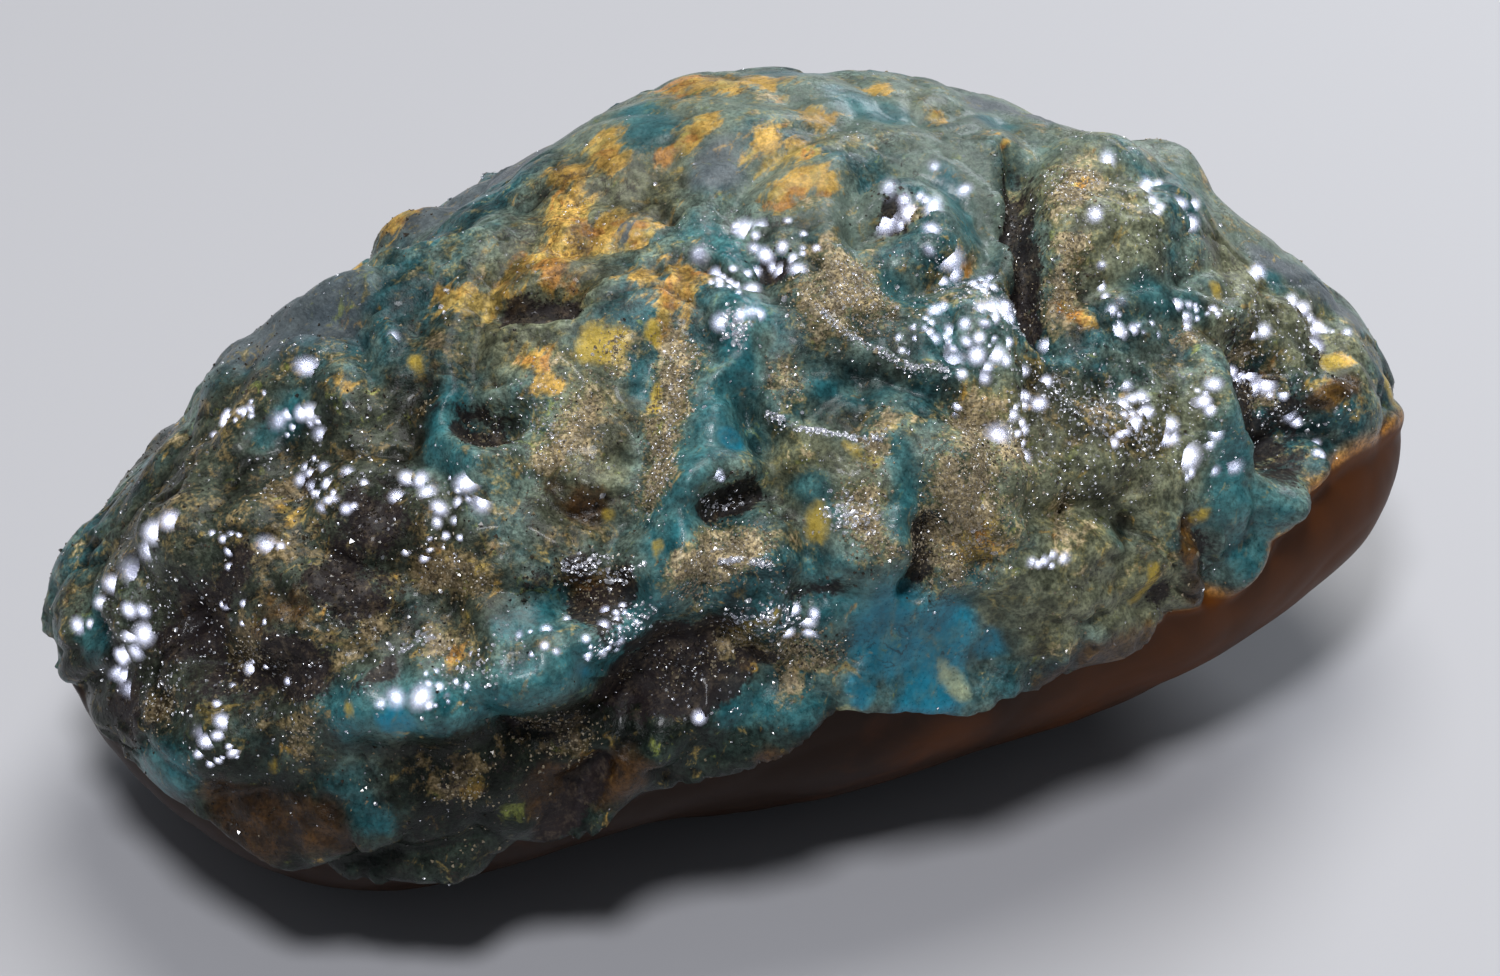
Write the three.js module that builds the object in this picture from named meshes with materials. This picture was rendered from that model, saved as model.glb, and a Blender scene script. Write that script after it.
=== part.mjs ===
// A rough nugget of blue amber, lying on its smooth underside.
//
// Millimetres, +Z up. X runs along the nugget's long axis, -Y is its front, and the origin is on
// the surface that it rests on, under the middle of its box.
//
// A place on the nugget is given by two numbers: `along`, its distance along the long axis from
// the middle, and `turn`, its angle around that axis in degrees (0 top, 90 front, 180 underside,
// 270 back). The nugget is a tapered, slightly arched egg. Broad swellings shape it, a thin crust
// of sandy matrix ends in a ledge above the smooth underside, and ridges, clefts, pits and knobs
// are strokes drawn along short paths on it. Low ripples make the rest of the crust lumpy.

import * as THREE from 'three';
import { mergeVertices } from 'three/addons/utils/BufferGeometryUtils.js';

// Driving dimensions.
const HALF_LENGTH = 31.0;
const HALF_WIDTH = 18.2;
const HALF_HEIGHT = 14.2;
const AXIS_HEIGHT = 11.4;
const RIGHT_TAPER = 0.16; // how much slimmer the right end is than an egg's
const FLOOR_BLEND = 1.0; // height over which the body rounds off into its resting face
const CRUST_THICKNESS = 0.9; // of the matrix crust, at its ledge
const THINNING = 0.6; // fullness of the egg below which the crust thins out towards a tip
const LEDGE_WIDTH = 1.5; // over which the ledge drops to the underside
const FACET_SPLITS = 21; // splits of each edge of the first twenty faces
const FACET_PULL = new THREE.Vector3(0, -0.3, 0.3); // crowds the facets where the crust is rough

// Low ripples: wavelength and height of the lumps on the crust, and their share underneath.
const SWELL = { size: 15, height: 0.3, seed: 1 };
const LUMPS = { size: 8.5, height: 1.0, seed: 2 };
const KNOBS = { size: 5.2, height: 0.45, seed: 3 };
const UNDERSIDE_SHARE = 0.08;
const WARP = { size: 13, reach: 0.7 };
const NARROWEST = 1.1; // smallest reach of a stroke that facets of this size can hold
const STEEPEST = 3; // largest edge that they can hold

const WAVES = 9; // sine waves in one ripple
const GOLDEN_ANGLE = Math.PI * (3 - Math.sqrt(5));
const CREASE_RATE = 1.3; // radians of a lump's arch to one of its ripple's height
const MEAN_CREASE = 0.6; // average of a creased ripple, taken off so that it adds no bulk

// Where the crust ends, as [along, turn], on the front and on the back.
const FRONT_LEDGE = [
  [-31, 96], [-25, 98], [-20, 107], [-14, 109], [-9, 101], [-3, 98], [0.5, 90], [3, 93],
  [6, 97], [8, 95], [10.5, 99], [14, 98], [16, 92], [19, 93], [21, 84], [23, 73], [26, 67], [31, 64],
];
const BACK_LEDGE = [
  [-31, 264], [-24, 256], [-17, 262], [-9, 250], [-2, 257], [5, 248], [12, 261], [18, 254],
  [24, 270], [31, 284],
];

// Broad swellings and hollows that turn the egg into this nugget. A stroke has a path of
// [along, turn] places, a reach to either side of it, a height (below zero cuts in), and an edge:
// 2 is a soft mound, 4 or more is flat with steep sides.
const BODY_STROKES = [
  { name: 'left heel', path: [[-20, 120]], reach: 9, height: 2.2, edge: 2 },
  { name: 'left chamfer', path: [[-30, 120]], reach: 7, height: -0.9, edge: 2 },
  { name: 'left shoulder', path: [[-27, 308]], reach: 5, height: -0.9, edge: 2 },
  { name: 'left slope', path: [[-25, 332], [-13, 322]], reach: 5, height: -1.5, edge: 2 },
  { name: 'left hollow', path: [[-15, 320]], reach: 7, height: -1.2, edge: 2 },
  { name: 'back slope', path: [[-23, 300], [-14, 290]], reach: 5.5, height: -1.2, edge: 2 },
  { name: 'crown slope', path: [[-5, 318]], reach: 5, height: -1.0, edge: 2 },
  { name: 'crown', path: [[3, 330]], reach: 9, height: 1.0, edge: 2 },
  { name: 'right shoulder', path: [[14, 326]], reach: 7, height: 0.4, edge: 2 },
  { name: 'right flank', path: [[29, 350]], reach: 6, height: -0.4, edge: 2 },
  { name: 'right belly', path: [[20, 124], [27, 116]], reach: 6, height: 0.9, edge: 2 },
  { name: 'resting swell', path: [[-12, 180], [11, 178]], reach: 9, height: 1.3, edge: 2 },
  { name: 'back knob', path: [[-13, 318]], reach: 2.2, height: 2.0, edge: 2 },
  { name: 'right lip', path: [[21.4, 336]], reach: 2.3, height: 1.6, edge: 2 },
  { name: 'right notch', path: [[25, 326]], reach: 2.6, height: -1.6, edge: 2 },
];

// Patches that are worn smoother. The height is the share of their lumps that is missing.
const WORN = [
  { name: 'crown', path: [[-26, 314], [-10, 330], [8, 330], [20, 334], [28, 350]], reach: 6.5,
    height: 0.7, edge: 2 },
  { name: 'window', path: [[3, 80], [6, 86]], reach: 2.8, height: 0.8, edge: 3 },
];

const CRUST_STROKES = [
  // Raised forms.
  { name: 'front ridge', path: [[-20, 69], [-15, 72], [-11, 70], [-8, 65], [-5, 58]],
    reach: 1.5, height: 1.5, edge: 2 },
  { name: 'swelling', path: [[-0.9, 26], [-1.8, 33], [-3.8, 43], [-5.8, 50]], reach: 1.3,
    height: 1.0, edge: 2 },
  { name: 'tan boss', path: [[6.5, 58]], reach: 2.6, height: 1.3, edge: 5 },
  { name: 'grainy lobe', path: [[16, 12], [18, 2]], reach: 3.6, height: 1.1, edge: 4 },
  { name: 'cavity rim', path: [[18.6, 52], [19.8, 64], [20.8, 72]], reach: 1.4, height: 0.9,
    edge: 2 },
  { name: 'window lip', path: [[0.8, 86], [2.9, 91], [6, 94], [7.6, 92]], reach: 0.8, height: 0.5,
    edge: 2 },
  { name: 'slot ledge', path: [[-4.8, 49], [-2.4, 48]], reach: 1.1, height: 0.8, edge: 2 },
  { name: 'boss tooth', path: [[3.5, 50], [3.1, 62]], reach: 0.9, height: 0.9, edge: 2 },
  { name: 'thin ridge', path: [[-1.2, 40], [0, 44], [3, 48]], reach: 0.8, height: 0.7,
    edge: 2 },
  { name: 'upper thin ridge', path: [[1.6, 28], [3.5, 34], [7, 40]], reach: 0.8, height: 0.7,
    edge: 2 },
  { name: 'crater rim', path: [[-13.4, 24], [-14.4, 30], [-13, 36]], reach: 0.9, height: 0.8,
    edge: 2 },
  { name: 'fold shoulder', path: [[-8, 90], [-10.6, 104], [-14, 117]], reach: 1.4, height: 0.8,
    edge: 2 },
  { name: 'left terrace', path: [[-26, 20], [-22, 34], [-21, 52]], reach: 1.8, height: 0.8,
    edge: 3 },
  { name: 'left brow', path: [[-23, 338], [-17, 352], [-11, 358]], reach: 1.6, height: 0.7,
    edge: 2 },
  { name: 'wet knob', path: [[8.4, 31]], reach: 1.7, height: 0.8, edge: 3 },
  { name: 'small wet knob', path: [[8, 17]], reach: 1.3, height: 0.7, edge: 3 },
  { name: 'back rib', path: [[-17, 284], [-11, 280], [-2, 287], [6, 276]], reach: 1.7,
    height: 1.2, edge: 2 },
  { name: 'back boss', path: [[14, 288]], reach: 3.2, height: 1.2, edge: 4 },
  { name: 'back bulge', path: [[-24, 270]], reach: 3.0, height: 0.7, edge: 3 },
  // Cut-in forms.
  { name: 'crevice', path: [[13.2, 357], [12.2, 11], [11.6, 23], [11.2, 33]], reach: 0.9,
    height: -1.9, edge: 2 },
  { name: 'cavity', path: [[21.4, 46], [21.8, 56]], reach: 2.3, height: -2.2, edge: 4 },
  { name: 'cavity slot', path: [[21.6, 62], [23.6, 56]], reach: 0.9, height: -1.0, edge: 2 },
  { name: 'oval pit', path: [[-10.2, 14], [-8, 16]], reach: 1.0, height: -1.4, edge: 3 },
  { name: 'crater pit', path: [[-12.7, 29], [-11.9, 30]], reach: 1.0, height: -1.8, edge: 3 },
  { name: 'slot', path: [[-4.3, 52], [-2.2, 50]], reach: 0.9, height: -1.6, edge: 3 },
  { name: 'upright slot', path: [[4.3, 62], [3.9, 69]], reach: 0.9, height: -1.5, edge: 3 },
  { name: 'boss cleft', path: [[4.4, 55], [5.1, 65], [6.8, 69]], reach: 0.8, height: -1.0,
    edge: 2 },
  { name: 'gravel hollow', path: [[-8, 75], [-5, 76]], reach: 2.1, height: -1.7, edge: 3 },
  { name: 'gravel step', path: [[-2, 78], [0.4, 77]], reach: 1.6, height: -1.0, edge: 3 },
  { name: 'window', path: [[3.2, 79], [6.2, 83]], reach: 2.4, height: -0.6, edge: 3 },
  { name: 'swelling groove', path: [[-2, 37], [-1.5, 43], [-1.2, 52]], reach: 0.8, height: -0.9,
    edge: 2 },
  { name: 'brown slot', path: [[16.4, 70], [17.3, 80], [18.1, 92]], reach: 0.8, height: -1.2,
    edge: 2 },
  { name: 'ridge trough', path: [[-18, 79], [-13, 81], [-9, 84]], reach: 1.2, height: -0.8,
    edge: 2 },
  { name: 'fold', path: [[-9.8, 92], [-12.4, 106], [-15.8, 119]], reach: 0.9, height: -1.1,
    edge: 2 },
  { name: 'left furrow', path: [[-14.6, 22], [-16.6, 38], [-16.2, 56]], reach: 1.2, height: -1.0,
    edge: 2 },
  { name: 'left gully', path: [[-25, 44], [-23.6, 60], [-20, 62]], reach: 1.2, height: -1.0,
    edge: 2 },
  { name: 'crown pit', path: [[0.6, 18]], reach: 0.9, height: -1.0, edge: 2 },
  { name: 'upper pit', path: [[5, 14], [6.4, 13]], reach: 0.9, height: -1.2, edge: 2 },
  { name: 'red pit', path: [[-10, 61], [-8.2, 61]], reach: 0.9, height: -1.2, edge: 2 },
  { name: 'low pit', path: [[-1.2, 67], [0.6, 69]], reach: 0.8, height: -1.0, edge: 2 },
  { name: 'right pit', path: [[14.8, 84]], reach: 0.9, height: -0.8, edge: 2 },
  { name: 'tip cleft', path: [[26.4, 20], [25.6, 40]], reach: 0.8, height: -1.1, edge: 2 },
  { name: 'back crater', path: [[-6, 303]], reach: 1.7, height: -1.6, edge: 3 },
  { name: 'back cleft', path: [[8, 322], [9.4, 300], [8.2, 270]], reach: 0.9, height: -1.5,
    edge: 2 },
  { name: 'back hollow', path: [[-15, 268], [-11, 262]], reach: 2.0, height: -1.3, edge: 3 },
  { name: 'back pit', path: [[20, 300]], reach: 1.4, height: -1.4, edge: 3 },
];

const radians = THREE.MathUtils.degToRad;

// How full the egg is at a distance along it: 1 in the middle and 0 at the tips.
function fullnessAt(along) {
  return Math.sqrt(Math.max(0, 1 - (along / HALF_LENGTH) ** 2));
}

// A place on the plain egg: an ellipse around an arched centre line, slimmer to the right.
function bodyPoint(along, turn) {
  const t = THREE.MathUtils.clamp(along / HALF_LENGTH, -1, 1);
  const fullness = fullnessAt(along) * (1 - RIGHT_TAPER * Math.max(t, 0) ** 2);
  const centreY = 0.3 + 1.2 * t - 2.4 * t * t;
  const centreZ = AXIS_HEIGHT + 1.3 + 1.1 * t - 2.5 * t * t;
  return new THREE.Vector3(
    along,
    centreY - HALF_WIDTH * fullness * Math.sin(radians(turn)),
    centreZ + HALF_HEIGHT * fullness * Math.cos(radians(turn)),
  );
}

// The egg's outward direction at a point.
function outward(point) {
  return new THREE.Vector3(
    point.x / HALF_LENGTH ** 2,
    point.y / HALF_WIDTH ** 2,
    (point.z - AXIS_HEIGHT) / HALF_HEIGHT ** 2,
  ).normalize();
}

// A ripple of about -1 to 1: sine waves in evenly spread directions, of slightly unlike lengths.
// The seed turns the set of directions and shifts the waves.
function ripple(point, size, seed) {
  let sum = 0;
  for (let k = 0; k < WAVES; k += 1) {
    const rise = 1 - (2 * k + 1) / WAVES;
    const level = Math.sqrt(1 - rise * rise);
    const spin = GOLDEN_ANGLE * k + seed;
    const distance = level * (Math.cos(spin) * point.x + Math.sin(spin) * point.y) + rise * point.z;
    const wavelength = size * (0.75 + (0.5 * k) / WAVES);
    sum += Math.sin((2 * Math.PI * distance) / wavelength + (k + 2) * (k + seed));
  }
  return sum / Math.sqrt(WAVES);
}

// The point pushed about by slow ripples, so that the finer ones don't line up.
function warped(point) {
  return new THREE.Vector3(
    point.x + WARP.reach * ripple(point, WARP.size, 11),
    point.y + WARP.reach * ripple(point, WARP.size, 12),
    point.z + WARP.reach * ripple(point, WARP.size, 13),
  );
}

// Rounded lumps that meet in creases.
function creased(point, layer) {
  const arch = Math.abs(Math.sin(CREASE_RATE * ripple(point, layer.size, layer.seed)));
  return layer.height * (arch - MEAN_CREASE);
}

// Height of one stroke at a point.
function strokeHeight(point, stroke) {
  let distance = point.distanceTo(stroke.places[0]);
  for (let k = 1; k < stroke.places.length; k += 1) {
    const piece = new THREE.Line3(stroke.places[k - 1], stroke.places[k]);
    const nearest = piece.closestPointToPoint(point, true, new THREE.Vector3());
    distance = Math.min(distance, point.distanceTo(nearest));
  }
  return stroke.height * Math.exp(-((distance / stroke.reach) ** stroke.edge));
}

// A stroke with its path turned into points on the egg, and no finer than the facets can hold.
function placed(stroke) {
  return {
    places: stroke.path.map(([along, turn]) => bodyPoint(along, turn)),
    reach: Math.max(stroke.reach, NARROWEST),
    height: stroke.height,
    edge: Math.min(stroke.edge, STEEPEST),
  };
}

// Turn of a ledge at a distance along the nugget, straight between its places.
function ledgeTurn(ledge, along) {
  const next = Math.max(1, ledge.findIndex(([place]) => place >= along));
  const [startAlong, startTurn] = ledge[next - 1];
  const [endAlong, endTurn] = ledge[next];
  return THREE.MathUtils.mapLinear(along, startAlong, endAlong, startTurn, endTurn);
}

// Share of the crust at a place: 1 on it, 0 under it, with a smooth drop at the ledge.
function crustShare(along, turn) {
  const girth = HALF_WIDTH * fullnessAt(along);
  const ledge = turn < 180 ? ledgeTurn(FRONT_LEDGE, along) - turn
    : turn - ledgeTurn(BACK_LEDGE, along);
  const margin = girth * radians(ledge);
  return THREE.MathUtils.smoothstep(margin, -LEDGE_WIDTH / 2, LEDGE_WIDTH / 2);
}

// The body rounds off into a flat face on z = 0.
function restOnFloor(height) {
  if (height <= -FLOOR_BLEND) return 0;
  if (height >= FLOOR_BLEND) return height;
  return (height + FLOOR_BLEND) ** 2 / (4 * FLOOR_BLEND);
}

// The nugget's skin in one direction from its middle.
function skinPoint(direction, bodyStrokes, crustStrokes, worn) {
  const along = HALF_LENGTH * THREE.MathUtils.clamp(direction.x, -1, 1);
  const turn = (THREE.MathUtils.radToDeg(Math.atan2(-direction.y, direction.z)) + 360) % 360;
  const base = bodyPoint(along, turn);
  const crust = crustShare(along, turn);
  const bent = warped(base);
  const roughness = UNDERSIDE_SHARE + (1 - UNDERSIDE_SHARE) * crust;
  const thickness = CRUST_THICKNESS * Math.min(1, fullnessAt(along) / THINNING);
  let height = thickness * (crust - 0.5) + SWELL.height * ripple(bent, SWELL.size, SWELL.seed);
  let lumpiness = roughness;
  for (const patch of worn) lumpiness *= 1 - strokeHeight(base, patch);
  height += lumpiness * (creased(bent, LUMPS) + creased(bent, KNOBS));
  for (const stroke of bodyStrokes) height += strokeHeight(base, stroke);
  for (const stroke of crustStrokes) height += roughness * strokeHeight(base, stroke);
  const skin = base.clone().addScaledVector(outward(base), height);
  skin.z = restOnFloor(skin.z);
  return skin;
}

// An evenly faceted ball, moved point by point onto the nugget's skin.
function nuggetGeometry() {
  const ball = new THREE.IcosahedronGeometry(1, FACET_SPLITS);
  ball.deleteAttribute('normal');
  ball.deleteAttribute('uv');
  const geometry = mergeVertices(ball);
  const bodyStrokes = BODY_STROKES.map(placed);
  const crustStrokes = CRUST_STROKES.map(placed);
  const worn = WORN.map(placed);
  const corners = geometry.getAttribute('position');
  const direction = new THREE.Vector3();
  for (let k = 0; k < corners.count; k += 1) {
    direction.fromBufferAttribute(corners, k).normalize().add(FACET_PULL).normalize();
    const skin = skinPoint(direction, bodyStrokes, crustStrokes, worn);
    corners.setXYZ(k, skin.x, skin.y, skin.z);
  }
  centreOverOrigin(geometry);
  geometry.computeVertexNormals();
  return geometry;
}

// Slides the nugget so that the middle of its box is over the origin. Its height stays.
function centreOverOrigin(geometry) {
  geometry.computeBoundingBox();
  const middle = geometry.boundingBox.getCenter(new THREE.Vector3());
  geometry.translate(-middle.x, -middle.y, 0);
}

const wetAmber = new THREE.MeshStandardMaterial({
  name: 'wet amber',
  color: new THREE.Color(0.14, 0.3, 0.29),
  roughness: 0.22,
  metalness: 0,
});

const nugget = new THREE.Mesh(nuggetGeometry(), wetAmber);
nugget.name = 'amber_nugget';

const group = new THREE.Group();
group.name = 'rough_blue_amber';
group.add(nugget);

export default group;
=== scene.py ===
import math
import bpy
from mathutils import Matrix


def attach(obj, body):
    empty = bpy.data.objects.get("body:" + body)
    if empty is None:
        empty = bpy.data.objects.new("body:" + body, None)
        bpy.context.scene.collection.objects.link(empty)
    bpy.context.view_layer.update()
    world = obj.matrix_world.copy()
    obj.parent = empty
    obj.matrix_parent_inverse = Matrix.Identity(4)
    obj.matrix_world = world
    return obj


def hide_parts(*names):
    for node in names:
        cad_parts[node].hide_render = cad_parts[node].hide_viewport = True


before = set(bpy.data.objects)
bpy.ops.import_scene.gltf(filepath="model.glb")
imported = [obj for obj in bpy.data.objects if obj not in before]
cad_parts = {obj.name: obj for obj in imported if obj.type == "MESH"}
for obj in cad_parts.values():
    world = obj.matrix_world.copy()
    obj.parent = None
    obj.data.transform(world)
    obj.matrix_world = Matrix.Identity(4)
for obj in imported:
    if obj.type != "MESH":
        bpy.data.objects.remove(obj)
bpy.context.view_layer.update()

from types import SimpleNamespace

import bpy
import numpy as np
from bpy.props import FloatProperty, FloatVectorProperty, IntProperty, PointerProperty
from bpy.types import Operator, Panel, PropertyGroup
from mathutils import Vector

bl_info = {
    "name": "Rough Blue Amber",
    "version": (1, 0, 0),
    "blender": (4, 5, 0),
    "location": "View3D > Sidebar > Amber",
    "description": "Builds a rough blue amber nugget with its sandy crust, and a plain studio",
    "category": "Add Mesh",
}

# ---------------------------------------------------------------------------------------------
# The nugget's form. A place on it is given by `along`, its distance in millimetres from the
# middle of the long axis, and `turn`, its angle around that axis in degrees: 0 top, 90 front,
# 180 underside, 270 back. Lengths in this section are millimetres.
# ---------------------------------------------------------------------------------------------

MM = 0.001
HALF_LENGTH = 31.0
HALF_WIDTH = 18.2
HALF_HEIGHT = 14.2
AXIS_HEIGHT = 11.4
# How much slimmer the right end is than an egg's.
RIGHT_TAPER = 0.16
# Height over which the body rounds off into its resting face.
FLOOR_BLEND = 1.0
# How far the finished nugget is slid so that the middle of its box is over the origin.
SLIDE = np.array((0.023, -0.649, 0.0))
CRUST_THICKNESS = 0.9
# Fullness of the egg below which the crust thins out towards a tip.
THINNING = 0.6
# Half the width over which the ledge drops, how much that grows towards the right end, the
# distances along between which it grows, how far the ledge strays from its places, and the size,
# octaves and seed of the noise that it strays by.
LEDGE_REACH = 0.45
LEDGE_GROWTH = 0.9
LEDGE_GROWS = (12, 22)
LEDGE_STRAY = 0.35
LEDGE_NOISE = (3.0, 2, 40)
# Low ripples: wavelength, height and seed, and their share on the underside.
SWELL = (15, 0.3, 1)
LUMPS = (8.5, 1.0, 2)
KNOBS = (5.2, 0.45, 3)
UNDERSIDE_SHARE = 0.08
# Wavelength, reach and seeds of the ripples that push the lumps sideways.
WARP_SIZE = 13
WARP_REACH = 0.7
WARP_SEEDS = (11, 12, 13)
# Sine waves in one ripple, and the turn from each one's direction to the next.
WAVES = 9
GOLDEN_ANGLE = math.pi * (3 - math.sqrt(5))
# Radians of a lump's arch to one of its ripple's height, and a creased ripple's average.
CREASE_RATE = 1.3
MEAN_CREASE = 0.6
# Size, reach and seed of the noise that makes stains ragged, and of the one that bites into pits.
RAGGED = (3.0, 1.1, 61)
BITTEN = (1.7, 0.5, 31)
STAIN_EDGE = 2.5
# Fine relief: size, octaves and seed of its noises, the height of the noise between which a terrace
# rises, how close to 0 a crack is, and the spacing and seeds of the domes in the sand and the dark
# patches.
RASP = (2.2, 4, 70)
TERRACES = (3.4, 4, 100)
TERRACE_RISE = (-0.03, 0.05)
CRACKS = (4.2, 3, 110)
CRACK_WIDTH = 0.03
PEBBLE_SIZE = 0.9
SAND_DOMES, SOOT_DOMES = 80, 95
# Turn of the line that the rings' distances are measured on, its points, and how strongly columns
# crowd together on the crust.
GUIDE_TURN = 45.0
GUIDE_POINTS = 4001
CROWDING = 0.32
# Small things keep this far from the tips. Turns are worked out from strays on this radius.
TIP_MARGIN = 0.5
STRAY_RADIUS = 0.85 * HALF_WIDTH

# Where the crust ends, as (along, turn), on the front and on the back.
FRONT_LEDGE = np.array([
    (-31, 96), (-25, 98), (-20, 107), (-14, 109), (-9, 101), (-3, 98), (0.5, 90), (3, 93),
    (6, 97), (8, 95), (10.5, 99), (14, 98), (16, 92), (19, 93), (21, 84), (23, 73), (26, 67),
    (31, 64)], float)
BACK_LEDGE = np.array([
    (-31, 264), (-24, 256), (-17, 262), (-9, 250), (-2, 257), (5, 248), (12, 261), (18, 254),
    (24, 270), (31, 284)], float)

# Broad swellings and hollows. A stroke is a path of (along, turn) places, its reach, its height
# (below zero cuts in) and its edge: 2 is a soft mound, 4 or more is flat with steep sides.
BODY_STROKES = {
    "left heel": ([(-20, 120)], 9, 2.2, 2),
    "left chamfer": ([(-30, 120)], 7, -0.9, 2),
    "left shoulder": ([(-27, 308)], 5, -0.9, 2),
    "left slope": ([(-25, 332), (-13, 322)], 5, -1.5, 2),
    "left hollow": ([(-15, 320)], 7, -1.2, 2),
    "back slope": ([(-23, 300), (-14, 290)], 5.5, -1.2, 2),
    "crown slope": ([(-5, 318)], 5, -1.0, 2),
    "crown": ([(3, 330)], 9, 1.0, 2),
    "right shoulder": ([(14, 326)], 7, 0.4, 2),
    "right flank": ([(29, 350)], 6, -0.4, 2),
    "right belly": ([(20, 124), (27, 116)], 6, 0.9, 2),
    "resting swell": ([(-12, 180), (11, 178)], 9, 1.3, 2),
    "back knob": ([(-13, 318)], 2.2, 2.0, 2),
    "right lip": ([(21.4, 336)], 2.3, 1.6, 2),
    "right notch": ([(25, 326)], 2.6, -1.6, 2),
}

# Patches that are worn smoother. The height is the share of their lumps that is missing.
WORN = {
    "crown": ([(-26, 314), (-10, 330), (8, 330), (20, 334), (28, 350)], 6.5, 0.7, 2),
    "window": ([(3, 80), (6, 86)], 2.8, 0.8, 3),
}

# Ridges, bosses and shallow hollows of the crust.
RELIEF_STROKES = {
    "front ridge": ([(-20, 69), (-15, 72), (-11, 70), (-8, 65), (-5, 58)], 1.5, 1.5, 2),
    "swelling": ([(-0.9, 26), (-1.8, 33), (-3.8, 43), (-5.8, 50)], 1.3, 1.0, 2),
    "tan boss": ([(6.5, 58)], 2.6, 1.3, 5),
    "grainy lobe": ([(16, 12), (18, 2)], 3.6, 1.1, 4),
    "cavity rim": ([(18.6, 52), (19.8, 64), (20.8, 72)], 1.4, 0.9, 2),
    "window lip": ([(0.8, 86), (2.9, 91), (6, 94), (7.6, 92)], 0.8, 0.5, 2),
    "slot ledge": ([(-4.8, 49), (-2.4, 48)], 1.1, 0.8, 2),
    "boss tooth": ([(3.5, 50), (3.1, 62)], 0.9, 0.9, 2),
    "thin ridge": ([(-1.2, 40), (0.1, 44), (1.4, 46), (2.9, 48)], 0.45, 0.55, 2),
    "upper thin ridge": ([(1.7, 28), (3.5, 34), (5, 38), (6.8, 40)], 0.45, 0.55, 2),
    "low thin ridge": ([(-4.3, 60), (-2.2, 62)], 0.5, 0.5, 2),
    "crater rim": ([(-13.4, 24), (-14.4, 30), (-13, 36)], 0.9, 0.8, 2),
    "fold shoulder": ([(-8, 90), (-10.6, 104), (-14, 117)], 1.4, 0.8, 2),
    "left terrace": ([(-26, 20), (-22, 34), (-21, 52)], 1.8, 0.8, 3),
    "left brow": ([(-23, 338), (-17, 352), (-11, 358)], 1.6, 0.7, 2),
    "wet knob": ([(8.4, 31)], 1.7, 0.8, 3),
    "small wet knob": ([(8, 17)], 1.3, 0.7, 3),
    "back rib": ([(-17, 284), (-11, 280), (-2, 287), (6, 276)], 1.7, 1.2, 2),
    "back boss": ([(14, 288)], 3.2, 1.2, 4),
    "back bulge": ([(-24, 270)], 3.0, 0.7, 3),
    "window": ([(3.2, 79), (6.2, 83)], 2.4, -0.6, 3),
    "ridge trough": ([(-18, 79), (-13, 81), (-9, 84)], 1.2, -0.8, 2),
    "swelling groove": ([(-2, 37), (-1.5, 43), (-1.2, 52)], 0.7, -1.3, 2),
    "gravel step": ([(-2, 78), (0.4, 77)], 1.6, -1.0, 3),
    "left furrow": ([(-14.6, 22), (-16.6, 38), (-16.2, 56)], 1.2, -1.0, 2),
}

# Pits and clefts of the crust. The material darkens them by their depth, as painted shade.
DEEP_STROKES = {
    "crevice": ([(13.2, 357), (12.2, 11), (11.6, 23), (11.2, 33)], 0.6, -2.0, 2.5),
    "cavity": ([(21.4, 46), (21.8, 56)], 2.3, -2.2, 4),
    "cavity slot": ([(21.6, 62), (23.6, 56)], 0.9, -1.0, 2),
    "oval pit": ([(-10.2, 14), (-8, 16)], 0.8, -1.1, 3),
    "crater pit": ([(-12.9, 28), (-11.7, 30), (-12.5, 31)], 0.85, -1.8, 3),
    "slot": ([(-4.3, 52), (-2.2, 50)], 0.6, -1.4, 3),
    "upright slot": ([(4.3, 62), (3.9, 69)], 0.8, -1.5, 4),
    "boss cleft": ([(4.4, 55), (5.1, 65), (6.8, 69)], 0.6, -1.0, 3),
    "gravel hollow": ([(-8, 75), (-5, 76)], 2.1, -1.7, 3),
    "brown slot": ([(16.4, 70), (17.3, 80), (18.1, 92)], 0.65, -1.2, 3),
    "fold": ([(-9.8, 92), (-12.4, 106), (-15.8, 119)], 0.8, -1.1, 2),
    "left gully": ([(-25, 44), (-23.6, 60), (-20, 62)], 1.2, -1.0, 2),
    "crown pit": ([(0.6, 18)], 0.9, -1.0, 2),
    "upper pit": ([(5, 14), (6.4, 13)], 0.9, -1.2, 3),
    "red pit": ([(-10, 61), (-8.2, 61)], 0.9, -1.2, 3),
    "low pit": ([(-1.2, 67), (0.6, 69)], 0.8, -1.0, 2),
    "right pit": ([(14.8, 84)], 0.9, -0.8, 2),
    "tip cleft": ([(26.4, 20), (25.6, 40)], 0.8, -1.1, 2),
    "back crater": ([(-6, 303)], 1.7, -1.6, 4),
    "back cleft": ([(8, 322), (9.4, 300), (8.2, 270)], 0.8, -1.5, 2),
    "back hollow": ([(-15, 268), (-11, 262)], 2.0, -1.3, 3),
    "back pit": ([(20, 300)], 1.4, -1.4, 4),
}

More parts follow.
